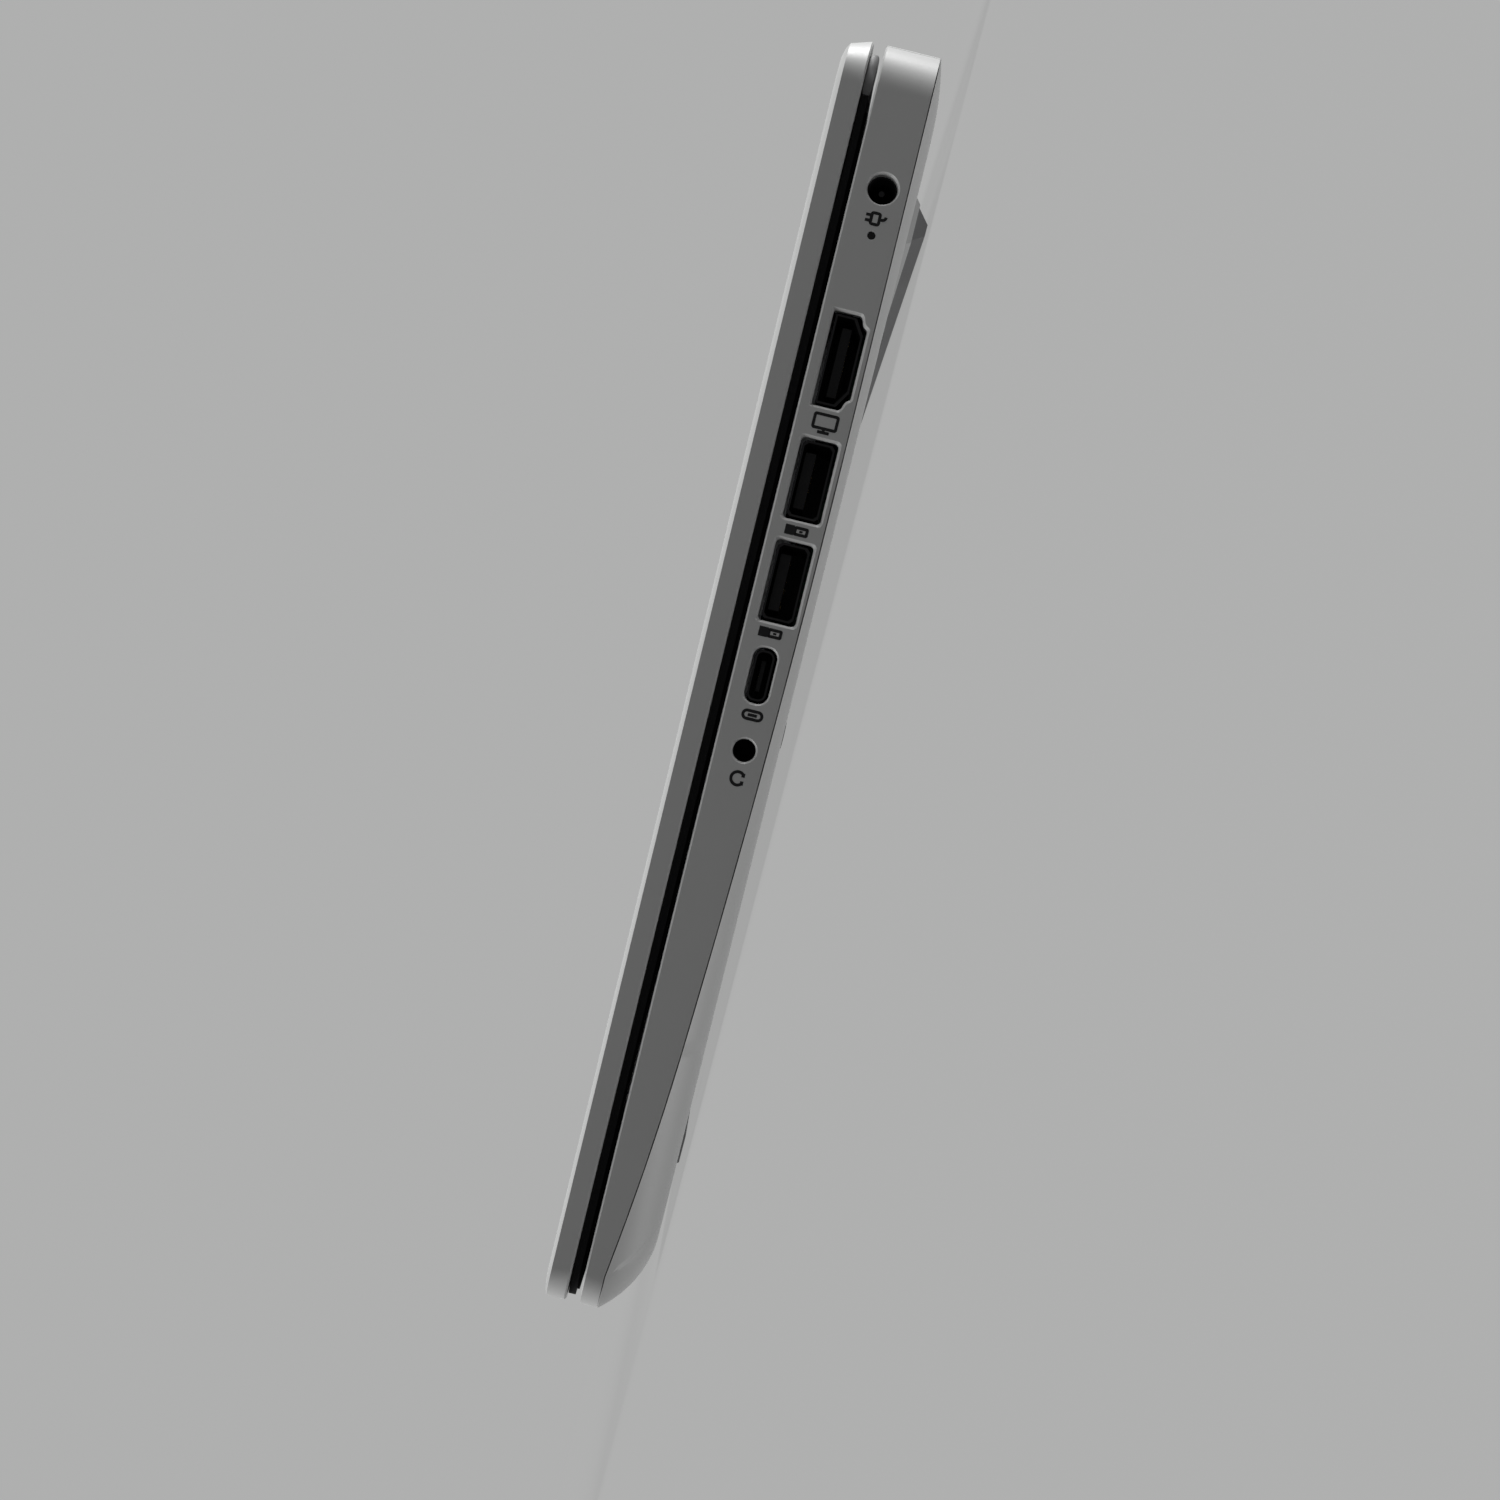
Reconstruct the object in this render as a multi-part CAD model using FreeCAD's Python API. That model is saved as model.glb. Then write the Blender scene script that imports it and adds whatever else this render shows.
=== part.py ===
import FreeCAD, Part
import math
import os
from FreeCAD import Vector

# A closed laptop computer, in millimetres. It is drawn level: X runs to the user's right, Y to the
# rear and Z up, with the deck's top face at Z = 0. "Back" is a distance from the rear end towards
# the front. At the end the whole thing is tipped onto its feet, so that Z = 0 is the table.

# Overall body
WIDTH = 325.0
DEPTH = 222.9
REAR_CORNER = 11.5
FRONT_CORNER = 7.5
EDGE_CHAMFER = 0.3
WALL = 1.6
PART_LINE = 0.15

# Lid
RIM_GAP = 2.2
LID_CREASE_REAR = 6.0
LID_CREASE_FRONT = 5.55
LID_TOP_REAR = 7.1
LID_TOP_FRONT = 6.3
LID_REAR_SLOPE = 1.7
LID_CROWN_WIDTH = 4.0
LID_SKIN = 1.0
LID_WALL = 1.5
LID_REAR_BAND = 8.0

# Base hull: the parting line between top case and bottom cover is flat at the rear, then climbs
DECK_SKIN = 1.4
SEAM_REAR = 9.45
SEAM_FRONT = 3.3
SEAM_FLAT = 74.0
SEAM_NOSE = 46.9
SEAM_SLOPE = 0.05
UNDER_REAR = 11.4
UNDER_FRONT = 10.6
UNDER_INSET = 9.0
UNDER_CORNER = 10.0
FLOOR_SKIN = 1.2
LIFT_BEVEL_LENGTH = 8.5
LIFT_BEVEL_DROP = 0.5

# Rear trim and its exhaust slots
REAR_TRIM = 1.8
EXHAUST_SLOTS = 12
EXHAUST_SLOT_WIDTH = 3.2
EXHAUST_SLOT_HEIGHT = 3.4
EXHAUST_PITCH = 5.2

# Feet
REAR_FOOT_BACK = 25.0
REAR_FOOT_STAND = 14.6
REAR_FOOT_INSET = 20.0
PLINTH_WIDTH = 10.0
PLINTH_TOP_WIDTH = 7.0
PLINTH_HEIGHT = 1.1
REAR_FOOT_WIDTH = 6.0
REAR_FOOT_FLAT = 1.6
FRONT_FOOT_MARGIN = 18.9
FRONT_FOOT_STAND = 11.8
FRONT_FOOT_INSET = 47.5
FRONT_FOOT_WIDTH = 7.0
FRONT_FOOT_FLAT = 5.0

# Lid hinge
HINGE_BACK = 2.5
HINGE_RISE = 3.0
HINGE_COVER_RADIUS = 2.4
HINGE_END_MARGIN = 44.5
HINGE_NECK = 4.0
NOTCH_CLEARANCE = 0.9
KNUCKLE_RADIUS = 1.9
KNUCKLE_LENGTH = 18.0
HINGE_PIN_RADIUS = 1.0
HINGE_PIN_CLEARANCE = 0.05
HINGE_RISER = 1.8
HINGE_PLATE = 1.0
HINGE_PLATE_LENGTH = 18.0
HINGE_PLATE_WIDTH = 26.0
HINGE_ARM_LUG = 7.0
HINGE_LUG_RADIUS = 1.2
HINGE_ARM_PLATE_WIDTH = 30.0
COVER_FIT = 0.05
POCKET_FIT = 0.1

# Screen
PANEL_SIDE_BORDER = 7.6
PANEL_TOP_BORDER = 9.0
PANEL_LOWER_BORDER = 39.3
PANEL_SETBACK = 0.15
PANEL_THICKNESS = 2.4
PANEL_MARGIN = 2.6
PANEL_CHIN = 9.5
BEZEL_INSET = 1.2
BEZEL_REAR = 3.2
BEZEL_UNDERSIDE = 0.8
BUMPER_INSET = 1.0
BUMPER_WIDTH = 2.0
BUMPER_GAP = 0.35
CAMERA_LENGTH = 60.0
CAMERA_WIDTH = 3.0
CAMERA_THICKNESS = 1.9
LENS_RADIUS = 1.3
LENS_HOLE_CLEARANCE = 0.2
ANTENNA_LENGTH = 46.0
ANTENNA_THICKNESS = 0.8
ANTENNA_SPREAD = 62.0

# Keyboard
KEYBOARD_MARGIN = 20.0
KEYBOARD_BACK = 27.0
FUNCTION_PITCH = 12.5
ROW_PITCH = 18.4
KEY_GAP = 3.0
KEY_TOP_INSET = 0.55
KEY_CORNER = 1.2
KEY_TOP = 0.25
KEY_HEIGHT = 1.85
KEY_TRAVEL = 1.3
KEY_STOP_GAP = 0.3
KEY_HOLE_CLEARANCE = 0.35
ARROW_SPLIT = 0.8
KEYBOARD_BORDER = 1.0
FRAME_RECESS = 0.7
FRAME_FIT = 0.15
KEYBOARD_PLATE = 0.5
KEYBOARD_RIM = 5.0
KEYBOARD_LEDGE = 1.0
STANDOFF_RADIUS = 2.2

# Touchpad
TOUCHPAD_WIDTH = 112.0
TOUCHPAD_REAR_MARGIN = 8.0
TOUCHPAD_FRONT_MARGIN = 12.1
TOUCHPAD_TOP = 0.15
TOUCHPAD_THICKNESS = 1.3
TOUCHPAD_CLEARANCE = 0.4
TOUCHPAD_BEAD = 0.6
TOUCHPAD_TRAVEL = 0.45
BRACKET_THICKNESS = 0.6
BRACKET_DROP = 1.2
BRACKET_FLANGE = 4.0
SADDLE_LENGTH = 12.0
SWITCH_SIZE = 5.0

# Speaker grille in the deck
GRILLE_END_MARGIN = 72.5
GRILLE_WIDTH = 11.0
GRILLE_BACK = 10.0
GRILLE_THICKNESS = 0.9
GRILLE_FIT = 0.15
GRILLE_SLOT = 9.6
GRILLE_SLOT_WIDTH = 2.0
GRILLE_COLUMNS = 14
GRILLE_ROWS = 2

# Ports on the right-hand wall: distance back from the rear end, depth below the deck, cut-out sizes
POWER_BACK = 27.56
POWER_DROP = 5.23
POWER_HOLE = 2.58
LIGHT_BACK = 35.6
LIGHT_RADIUS = 0.72
VIDEO_BACK = 57.16
VIDEO_DROP = 5.27
VIDEO_WIDTH = 16.2
VIDEO_HEIGHT = 6.13
VIDEO_STEP = 2.7
VIDEO_STEP_HEIGHT = 1.7
TYPE_A_REAR_BACK = 77.8
TYPE_A_FRONT_BACK = 95.4
TYPE_A_DROP = 5.16
TYPE_A_WIDTH = 13.9
TYPE_A_HEIGHT = 6.4
TYPE_A_CORNER = 0.6
TYPE_C_BACK = 111.5
TYPE_C_DROP = 4.78
TYPE_C_WIDTH = 9.56
TYPE_C_HEIGHT = 4.18
HEADSET_BACK = 124.3
HEADSET_DROP = 5.07
HEADSET_HOLE = 1.95
PORT_CHAMFER = 0.3
PORT_FIT = 0.45
PORT_SHELL = 0.35
PORT_RECESS = 0.5
PORT_DEPTH = 10.5
TYPE_C_DEPTH = 8.5
CORE_BLOCK = 2.0
TONGUE_SHORT = 1.5
VIDEO_TONGUE = 1.6
VIDEO_TONGUE_RISE = 0.2
TYPE_A_TONGUE = 1.8
TYPE_A_TONGUE_RISE = 1.0
TYPE_C_TONGUE = 0.7
JACK_LENGTH = 12.0
JACK_HOUSING = 2.5
POWER_BORE = 2.3
POWER_PIN = 0.5
POWER_PIN_SHORT = 1.0
HEADSET_BORE = 1.8
BORE_END = 1.0

# Inside the base
BOARD_TOP = 8.05
BOARD_THICKNESS = 1.0
BOARD_CLEARANCE = 0.5
BOARD_LEFT = 20.0
BOARD_BACK = 20.0
BOARD_FRONT = 131.0
BOARD_ARM_LENGTH = 90.0
BOARD_ARM_WIDTH = 28.0
CHIP_HEIGHT = 1.1
CHIP_SIZE = 30.0
CHIP_X = 30.0
CHIP_BACK = 62.0
COOLER_SIZE = 38.0
COOLER_THICKNESS = 0.5
PIPE_WIDTH = 8.0
PIPE_THICKNESS = 1.6
PIPE_BEND = 20.0
FAN_MARGIN = 82.5
FAN_BACK = 62.0
FAN_LENGTH = 64.0
FAN_THICKNESS = 5.0
FAN_TOP = 4.6
FAN_SKIN = 0.6
FAN_WALL = 1.2
ROTOR_RADIUS = 26.0
ROTOR_HUB = 9.0
ROTOR_GAP = 0.5
ROTOR_BLADES = 13
BLADE_THICKNESS = 0.7
BLADE_LEAN = 28.0
SHAFT_RADIUS = 1.0
SHAFT_CLEARANCE = 0.05
INLET_RADIUS = 17.0
FIN_STACK_LENGTH = 60.0
FIN_STACK_WIDTH = 18.0
FIN_STACK_BACK = 8.0
FIN_PITCH = 4.0
FIN_THICKNESS = 0.5
MEMORY_LENGTH = 68.0
MEMORY_WIDTH = 30.0
MEMORY_THICKNESS = 1.2
MEMORY_RISE = 1.4
MEMORY_MARGIN = 7.4
MEMORY_BACK = 30.0
MEMORY_PITCH = 36.0
SOCKET_WIDTH = 5.0
SOCKET_HEIGHT = 3.2
STORAGE_LENGTH = 80.0
STORAGE_WIDTH = 22.0
STORAGE_THICKNESS = 2.2
STORAGE_RISE = 1.2
STORAGE_CHIPS = 3
RADIO_LENGTH = 30.0
RADIO_WIDTH = 22.0
RADIO_X = 10.0
RADIO_BACK = 102.0
BATTERY_GAP = 9.5
BATTERY_BACK = 148.0
BATTERY_MARGIN = 15.9
BATTERY_TOP = 4.6
BATTERY_BOTTOM = 9.1
BATTERY_CELLS = 3
BATTERY_GROOVE = 1.2
SPEAKER_LENGTH = 36.0
SPEAKER_INSET = 12.0
SPEAKER_BACK = 150.0
SPEAKER_MARGIN = 28.9

# Intake slots under the fan
INTAKE_COLUMNS = 8
INTAKE_ROWS = 3
INTAKE_SLOT = 10.0
INTAKE_SLOT_WIDTH = 1.6
INTAKE_PITCH = 13.0
INTAKE_ROW_PITCH = 5.0
INTAKE_BACK = 50.0

# Values that follow from the sizes above
HALF_X = WIDTH / 2
HALF_Y = DEPTH / 2
SEAM_BEND = DEPTH - SEAM_NOSE
FRONT_FOOT_BACK = DEPTH - FRONT_FOOT_MARGIN
HINGE_HALF = HALF_X - HINGE_END_MARGIN
NOTCH_HALF = HINGE_HALF + NOTCH_CLEARANCE
NOTCH_BACK = HINGE_BACK + HINGE_COVER_RADIUS + NOTCH_CLEARANCE
BOARD_UNDER = BOARD_TOP + BOARD_THICKNESS
BOARD_RIGHT = HALF_X - UNDER_INSET - WALL - BOARD_CLEARANCE
CHIP_TOP = BOARD_TOP - CHIP_HEIGHT
COOLER_TOP = CHIP_TOP - COOLER_THICKNESS
KEY_BOTTOM = KEY_TOP + KEY_HEIGHT
PLATE_TOP = KEY_BOTTOM + KEY_TRAVEL + KEY_STOP_GAP
PLATE_UNDER = PLATE_TOP + KEYBOARD_PLATE
KEYBOARD_FRONT = KEYBOARD_BACK + FUNCTION_PITCH + 5 * ROW_PITCH
TOUCHPAD_BACK = KEYBOARD_FRONT + KEYBOARD_BORDER + TOUCHPAD_REAR_MARGIN
TOUCHPAD_LENGTH = DEPTH - TOUCHPAD_FRONT_MARGIN - TOUCHPAD_BACK
GRILLE_LENGTH = WIDTH - 2 * GRILLE_END_MARGIN
PANEL_FACE = RIM_GAP - PANEL_SETBACK
BEZEL_TOP = PANEL_FACE - COVER_FIT
FAN_X = FAN_MARGIN - HALF_X
MEMORY_X = BOARD_RIGHT - MEMORY_MARGIN - MEMORY_LENGTH
BATTERY_HALF = HALF_X - SPEAKER_INSET - SPEAKER_LENGTH - BATTERY_GAP
BATTERY_FRONT = DEPTH - BATTERY_MARGIN
SPEAKER_FRONT = DEPTH - SPEAKER_MARGIN

# Widths of the keys in each row, in units of one letter key
UNITS = 15
FUNCTION_ROW = [1.0] * 15
NUMBER_ROW = [1.0] * 13 + [2.0]
UPPER_ROW = [1.5] + [1.0] * 12 + [1.5]
HOME_ROW = [1.75] + [1.0] * 11 + [2.25]
LOWER_ROW = [2.25] + [1.0] * 10 + [2.75]
BOTTOM_ROW = [1.25] + [1.0] * 3 + [5.75] + [1.0] * 5
KEY_ROWS = [
    ("keys_function_row", FUNCTION_ROW),
    ("keys_number_row", NUMBER_ROW),
    ("keys_upper_row", UPPER_ROW),
    ("keys_home_row", HOME_ROW),
    ("keys_lower_row", LOWER_ROW),
    ("keys_bottom_row", BOTTOM_ROW),
]
SINGLE_KEYS = {
    ("keys_bottom_row", 7): "arrow_keys",
    ("keys_bottom_row", 8): "arrow_keys",
    ("keys_bottom_row", 9): "arrow_keys",
    ("keys_function_row", 13): "power_key",
    ("keys_home_row", 12): "enter_key",
    ("keys_bottom_row", 4): "space_bar",
}
ARROW_PAIR = ("keys_bottom_row", 8)


def rear(back):
    """Y of a place that lies this far in front of the rear end."""
    return HALF_Y - back


def level(z):
    """A height that is the same everywhere."""
    return lambda y: z


def slope(z_rear, z_front):
    """A height that runs straight from the rear end to the front end."""
    return lambda y: z_front + (z_rear - z_front) * (y + HALF_Y) / DEPTH


def block(x0, x1, back0, back1, z0, z1):
    """Box between two X, two distances back and two heights."""
    return Part.makeBox(x1 - x0, back1 - back0, z1 - z0, Vector(x0, rear(back1), z0))


def rod(x0, x1, back, z, radius):
    """Cylinder along X."""
    return Part.makeCylinder(radius, x1 - x0, Vector(x0, rear(back), z), Vector(1, 0, 0))


def post(x, back, z0, z1, radius):
    """Upright cylinder."""
    return Part.makeCylinder(radius, z1 - z0, Vector(x, rear(back), z0))


def along_x(points, x0, x1):
    """Polygon of (back, z) points carried along X."""
    corners = [Vector(x0, rear(back), z) for back, z in points]
    face = Part.Face(Part.makePolygon(corners + corners[:1]))
    return face.extrude(Vector(x1 - x0, 0, 0))


def rounded(x0, x1, y0, y1, r_front, r_rear, height):
    """Closed rounded rectangle whose height follows Y."""
    def point(x, y):
        return Vector(x, y, height(y))

    def corner(cx, cy, radius, start):
        turn = [math.radians(start + step) for step in (0, 45, 90)]
        ends = [point(cx + radius * math.cos(t), cy + radius * math.sin(t)) for t in turn]
        return Part.Arc(*ends).toShape()

    return Part.Wire([
        Part.makeLine(point(x1, y0 + r_front), point(x1, y1 - r_rear)),
        corner(x1 - r_rear, y1 - r_rear, r_rear, 0),
        Part.makeLine(point(x1 - r_rear, y1), point(x0 + r_rear, y1)),
        corner(x0 + r_rear, y1 - r_rear, r_rear, 90),
        Part.makeLine(point(x0, y1 - r_rear), point(x0, y0 + r_front)),
        corner(x0 + r_front, y0 + r_front, r_front, 180),
        Part.makeLine(point(x0 + r_front, y0), point(x1 - r_front, y0)),
        corner(x1 - r_front, y0 + r_front, r_front, 270),
    ])


def plan(inset, height, rear_inset=None):
    """The body's outline seen from above, drawn in by an inset."""
    at_rear = inset if rear_inset is None else rear_inset
    r_front = max(FRONT_CORNER - inset, EDGE_CHAMFER)
    r_rear = max(REAR_CORNER - max(inset, at_rear), EDGE_CHAMFER)
    return rounded(inset - HALF_X, HALF_X - inset, inset - HALF_Y, HALF_Y - at_rear, r_front, r_rear, height)


def loft(wires):
    """Solid with straight sides from each outline to the next."""
    return Part.makeLoft(wires, True, True)


def mirrored(shape):
    """The same piece on the left-hand side."""
    return shape.mirror(Vector(), Vector(1, 0, 0))


# Hull of the base

def seam_points():
    """Places (back, z) on the parting line where it changes from one curve to the next."""
    climb = SEAM_SLOPE * (SEAM_BEND - SEAM_FLAT) / 2
    return [
        (REAR_CORNER, -SEAM_REAR),
        (SEAM_FLAT, -SEAM_REAR),
        (SEAM_BEND, climb - SEAM_REAR),
        (DEPTH - FRONT_CORNER, -SEAM_FRONT),
    ]


def seam_middles():
    """Middle points of the two climbing arcs of the parting line."""
    flat, bend, front = seam_points()[1:]
    first = ((flat[0] + bend[0]) / 2, flat[1] + (bend[1] - flat[1]) / 4)
    run = front[0] - bend[0]
    straight = bend[1] + SEAM_SLOPE * run
    second = ((bend[0] + front[0]) / 2, bend[1] + SEAM_SLOPE * run / 2 + (front[1] - straight) / 4)
    return first, second


def seam_edges(x, lift):
    """Parting line at one X: a straight run and two arcs, from the rear corner to the front one."""
    def point(place):
        return Vector(x, rear(place[0]), place[1] + lift)

    start, flat, bend, front = [point(place) for place in seam_points()]
    first, second = [point(place) for place in seam_middles()]
    return [
        Part.makeLine(start, flat),
        Part.Arc(flat, first, bend).toShape(),
        Part.Arc(bend, second, front).toShape(),
    ]


def below_seam(lift):
    """Everything under the parting line, as one block as wide as the body."""
    x0 = -HALF_X - WALL
    edges = seam_edges(x0, lift)
    start = edges[0].Vertexes[0].Point
    front = edges[-1].Vertexes[-1].Point
    deep = -2 * UNDER_REAR
    rear_end = Vector(x0, rear(-WALL), start.z)
    front_end = Vector(x0, rear(DEPTH + WALL), front.z)
    edges = [Part.makeLine(rear_end, start)] + edges + [
        Part.makeLine(front, front_end),
        Part.makeLine(front_end, Vector(x0, front_end.y, deep)),
        Part.makeLine(Vector(x0, front_end.y, deep), Vector(x0, rear_end.y, deep)),
        Part.makeLine(Vector(x0, rear_end.y, deep), rear_end),
    ]
    return Part.Face(Part.Wire(edges)).extrude(Vector(WIDTH + 2 * WALL, 0, 0))


def hull_side(sign, top_inset, lift, under_inset, under_corner, under):
    """Edges of one side of the tray: along the parting line, and along the underside."""
    x_top = sign * (HALF_X - top_inset)
    x_under = sign * (HALF_X - under_inset)

    def arc(cx, cy, radius, height, start):
        turn = [math.radians(start + step) for step in (0, 45, 90)]
        ends = [Vector(sign * (cx + radius * math.cos(t)), cy + radius * math.sin(t), 0) for t in turn]
        for end in ends:
            end.z = height(end.y)
        return Part.Arc(*ends).toShape()

    top_rear = arc(HALF_X - REAR_CORNER, rear(REAR_CORNER), REAR_CORNER - top_inset,
                   level(lift - SEAM_REAR), 0)
    top_front = arc(HALF_X - FRONT_CORNER, rear(DEPTH - FRONT_CORNER), FRONT_CORNER - top_inset,
                    level(lift - SEAM_FRONT), 270)
    reach = under_inset + under_corner
    under_rear = arc(HALF_X - reach, rear(reach), under_corner, under, 0)
    under_front = arc(HALF_X - reach, rear(DEPTH - reach), under_corner, under, 270)
    stops = [rear(back) for back in (reach, SEAM_FLAT, SEAM_BEND, DEPTH - reach)]
    corners = [Vector(x_under, y, under(y)) for y in stops]
    lines = [Part.makeLine(a, b) for a, b in zip(corners[:-1], corners[1:])]
    return [top_rear] + seam_edges(x_top, lift) + [top_front], [under_rear] + lines + [under_front]


def end_of(edge, y_low):
    """The end point of a corner arc that lies on the front (or rear) side of the outline."""
    points = [vertex.Point for vertex in edge.Vertexes]
    return min(points, key=lambda p: p.y) if y_low else max(points, key=lambda p: p.y)


def tray(top_inset, lift, under_inset, under_corner, under):
    """Solid between the parting line and an underside: straight rulings all round."""
    right_top, right_under = hull_side(1, top_inset, lift, under_inset, under_corner, under)
    left_top, left_under = hull_side(-1, top_inset, lift, under_inset, under_corner, under)
    faces = []
    for tops, unders in ((right_top, right_under), (left_top, left_under)):
        faces += [Part.makeRuledSurface(a, b) for a, b in zip(tops, unders)]
    rear_top = Part.makeLine(end_of(left_top[0], False), end_of(right_top[0], False))
    rear_under = Part.makeLine(end_of(left_under[0], False), end_of(right_under[0], False))
    front_top = Part.makeLine(end_of(left_top[-1], True), end_of(right_top[-1], True))
    front_under = Part.makeLine(end_of(left_under[-1], True), end_of(right_under[-1], True))
    faces += [Part.makeRuledSurface(rear_top, rear_under), Part.makeRuledSurface(front_top, front_under)]
    across = [Part.makeLine(a.Vertexes[-1].Point, b.Vertexes[-1].Point)
              for a, b in zip(left_top[1:4], right_top[1:4])]
    rear_cap = [rear_top, right_top[0], right_top[1], across[0], left_top[1], left_top[0]]
    front_cap = [across[2], right_top[4], front_top, left_top[4]]
    floor = right_under + left_under + [rear_under, front_under]
    for edges in (rear_cap, front_cap, floor):
        faces.append(Part.Face(Part.Wire(Part.__sortEdges__(edges))))
    faces += [Part.makeRuledSurface(right_top[i], left_top[i]) for i in (2, 3)]
    shell = Part.makeShell(faces)
    shell.sewShape()
    solid = Part.makeSolid(shell)
    if solid.Volume < 0:
        solid.reverse()
    return solid


def underside(z_off):
    """Height of the underside, raised by an offset."""
    return slope(z_off - UNDER_REAR, z_off - UNDER_FRONT)


def under_at(back):
    """Height of the underside at one place."""
    return underside(0)(rear(back))


# Feet and the way the laptop stands

def floor_at(back):
    """Height of the table under the laptop, while it is drawn level."""
    fall = (REAR_FOOT_STAND - FRONT_FOOT_STAND) / (FRONT_FOOT_BACK - REAR_FOOT_BACK)
    return fall * (back - REAR_FOOT_BACK) - REAR_FOOT_STAND


TILT = math.atan2(REAR_FOOT_STAND - FRONT_FOOT_STAND, FRONT_FOOT_BACK - REAR_FOOT_BACK)
STAND = REAR_FOOT_STAND * math.cos(TILT) - rear(REAR_FOOT_BACK) * math.sin(TILT)


def seated(shape):
    """The piece as it stands: tipped about X and lifted so that both feet meet Z = 0."""
    result = shape.copy()
    result.rotate(Vector(), Vector(1, 0, 0), math.degrees(TILT))
    result.translate(Vector(0, 0, STAND))
    return result


def foot(back, width, flat, top, x_half):
    """Rubber strip with sloping flanks and bevelled ends, down to just below the table."""
    low = floor_at(back) - EDGE_CHAMFER
    spread = (width - flat) / 2

    def outline(x, half, z):
        corners = [Vector(-x, rear(back + half), z), Vector(x, rear(back + half), z),
                   Vector(x, rear(back - half), z), Vector(-x, rear(back - half), z)]
        return Part.makePolygon(corners + corners[:1])

    return loft([outline(x_half, width / 2, top), outline(x_half - spread, flat / 2, low)])


def make_rear_foot():
    """Long rubber ridge on the plinth of the bottom cover."""
    top = under_at(REAR_FOOT_BACK) - PLINTH_HEIGHT
    return foot(REAR_FOOT_BACK, REAR_FOOT_WIDTH, REAR_FOOT_FLAT, top, HALF_X - REAR_FOOT_INSET)


def make_front_foot():
    """Thin rubber strip near the front edge. Its top is let into the bottom cover."""
    top = under_at(FRONT_FOOT_BACK) + FLOOR_SKIN / 2
    return foot(FRONT_FOOT_BACK, FRONT_FOOT_WIDTH, FRONT_FOOT_FLAT, top, HALF_X - FRONT_FOOT_INSET)


def make_plinth():
    """Raised bar of the bottom cover that carries the rear foot."""
    top = under_at(REAR_FOOT_BACK) + FLOOR_SKIN / 2
    low = under_at(REAR_FOOT_BACK) - PLINTH_HEIGHT
    spread = (PLINTH_WIDTH - PLINTH_TOP_WIDTH) / 2
    x_low = HALF_X - REAR_FOOT_INSET + EDGE_CHAMFER

    def outline(x, half, z):
        corners = [Vector(-x, rear(REAR_FOOT_BACK + half), z), Vector(x, rear(REAR_FOOT_BACK + half), z),
                   Vector(x, rear(REAR_FOOT_BACK - half), z), Vector(-x, rear(REAR_FOOT_BACK - half), z)]
        return Part.makePolygon(corners + corners[:1])

    return loft([outline(x_low + spread, PLINTH_WIDTH / 2, top), outline(x_low, PLINTH_TOP_WIDTH / 2, low)])


# Ports in the right-hand wall

def port_outline(x, back, drop, width, height, corner):
    """Rounded upright rectangle in a plane of constant X, as a wire."""
    y0, y1 = rear(back) - width / 2, rear(back) + width / 2
    z0, z1 = -drop - height / 2, height / 2 - drop
    flat = rounded(y0, y1, z0, z1, corner, corner, level(0))
    flat.transformShape(FreeCAD.Matrix(0, 0, 1, x, 1, 0, 0, 0, 0, 1, 0, 0, 0, 0, 0, 1))
    return flat


def video_outline(x, grow):
    """Outline of the video port: full width at the top, stepped in with sloping corners below."""
    half, top = VIDEO_WIDTH / 2 + grow, VIDEO_HEIGHT / 2 - VIDEO_DROP + grow
    low = -VIDEO_HEIGHT / 2 - VIDEO_DROP - grow
    shoulder = low + VIDEO_STEP_HEIGHT
    foot_half = half - VIDEO_STEP
    middle = rear(VIDEO_BACK)
    places = [(-half, top), (half, top), (half, shoulder), (foot_half, low), (-foot_half, low),
              (-half, shoulder)]
    corners = [Vector(x, middle + y, z) for y, z in places]
    return Part.makePolygon(corners + corners[:1])


def type_a_outline(back):
    """Outline of a type A port, as a function of X and growth."""
    def outline(x, grow):
        half, tall = TYPE_A_WIDTH / 2 + grow, TYPE_A_HEIGHT / 2 + grow
        cut = TYPE_A_CORNER
        places = [(half, tall - cut), (half - cut, tall), (cut - half, tall), (-half, tall - cut),
                  (-half, cut - tall), (cut - half, -tall), (half - cut, -tall), (half, cut - tall)]
        corners = [Vector(x, rear(back) + y, z - TYPE_A_DROP) for y, z in places]
        return Part.makePolygon(corners + corners[:1])

    return outline


def type_c_outline(x, grow):
    """Outline of the type C port: a pill."""
    corner = TYPE_C_HEIGHT / 2 - PORT_CHAMFER + grow
    width, height = TYPE_C_WIDTH + 2 * grow, TYPE_C_HEIGHT + 2 * grow
    return port_outline(x, TYPE_C_BACK, TYPE_C_DROP, width, height, corner)


def port_cut(outline):
    """Cut-out through the wall with a chamfered mouth."""
    inside = HALF_X - WALL - PORT_FIT
    hole = loft([outline(inside, 0), outline(HALF_X - PORT_CHAMFER, 0)])
    mouth = loft([outline(HALF_X - PORT_CHAMFER, 0), outline(HALF_X, PORT_CHAMFER)])
    proud = loft([outline(HALF_X, PORT_CHAMFER), outline(HALF_X + PORT_CHAMFER, PORT_CHAMFER)])
    return [hole, mouth, proud]


def round_cut(back, drop, radius):
    """Round hole through the wall with a chamfered mouth."""
    inside = HALF_X - WALL - PORT_FIT
    cone = Part.makeCone(radius, radius + PORT_CHAMFER, PORT_CHAMFER,
                         Vector(HALF_X - PORT_CHAMFER, rear(back), -drop), Vector(1, 0, 0))
    return [rod(inside, HALF_X + PORT_CHAMFER, back, -drop, radius), cone]


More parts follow.
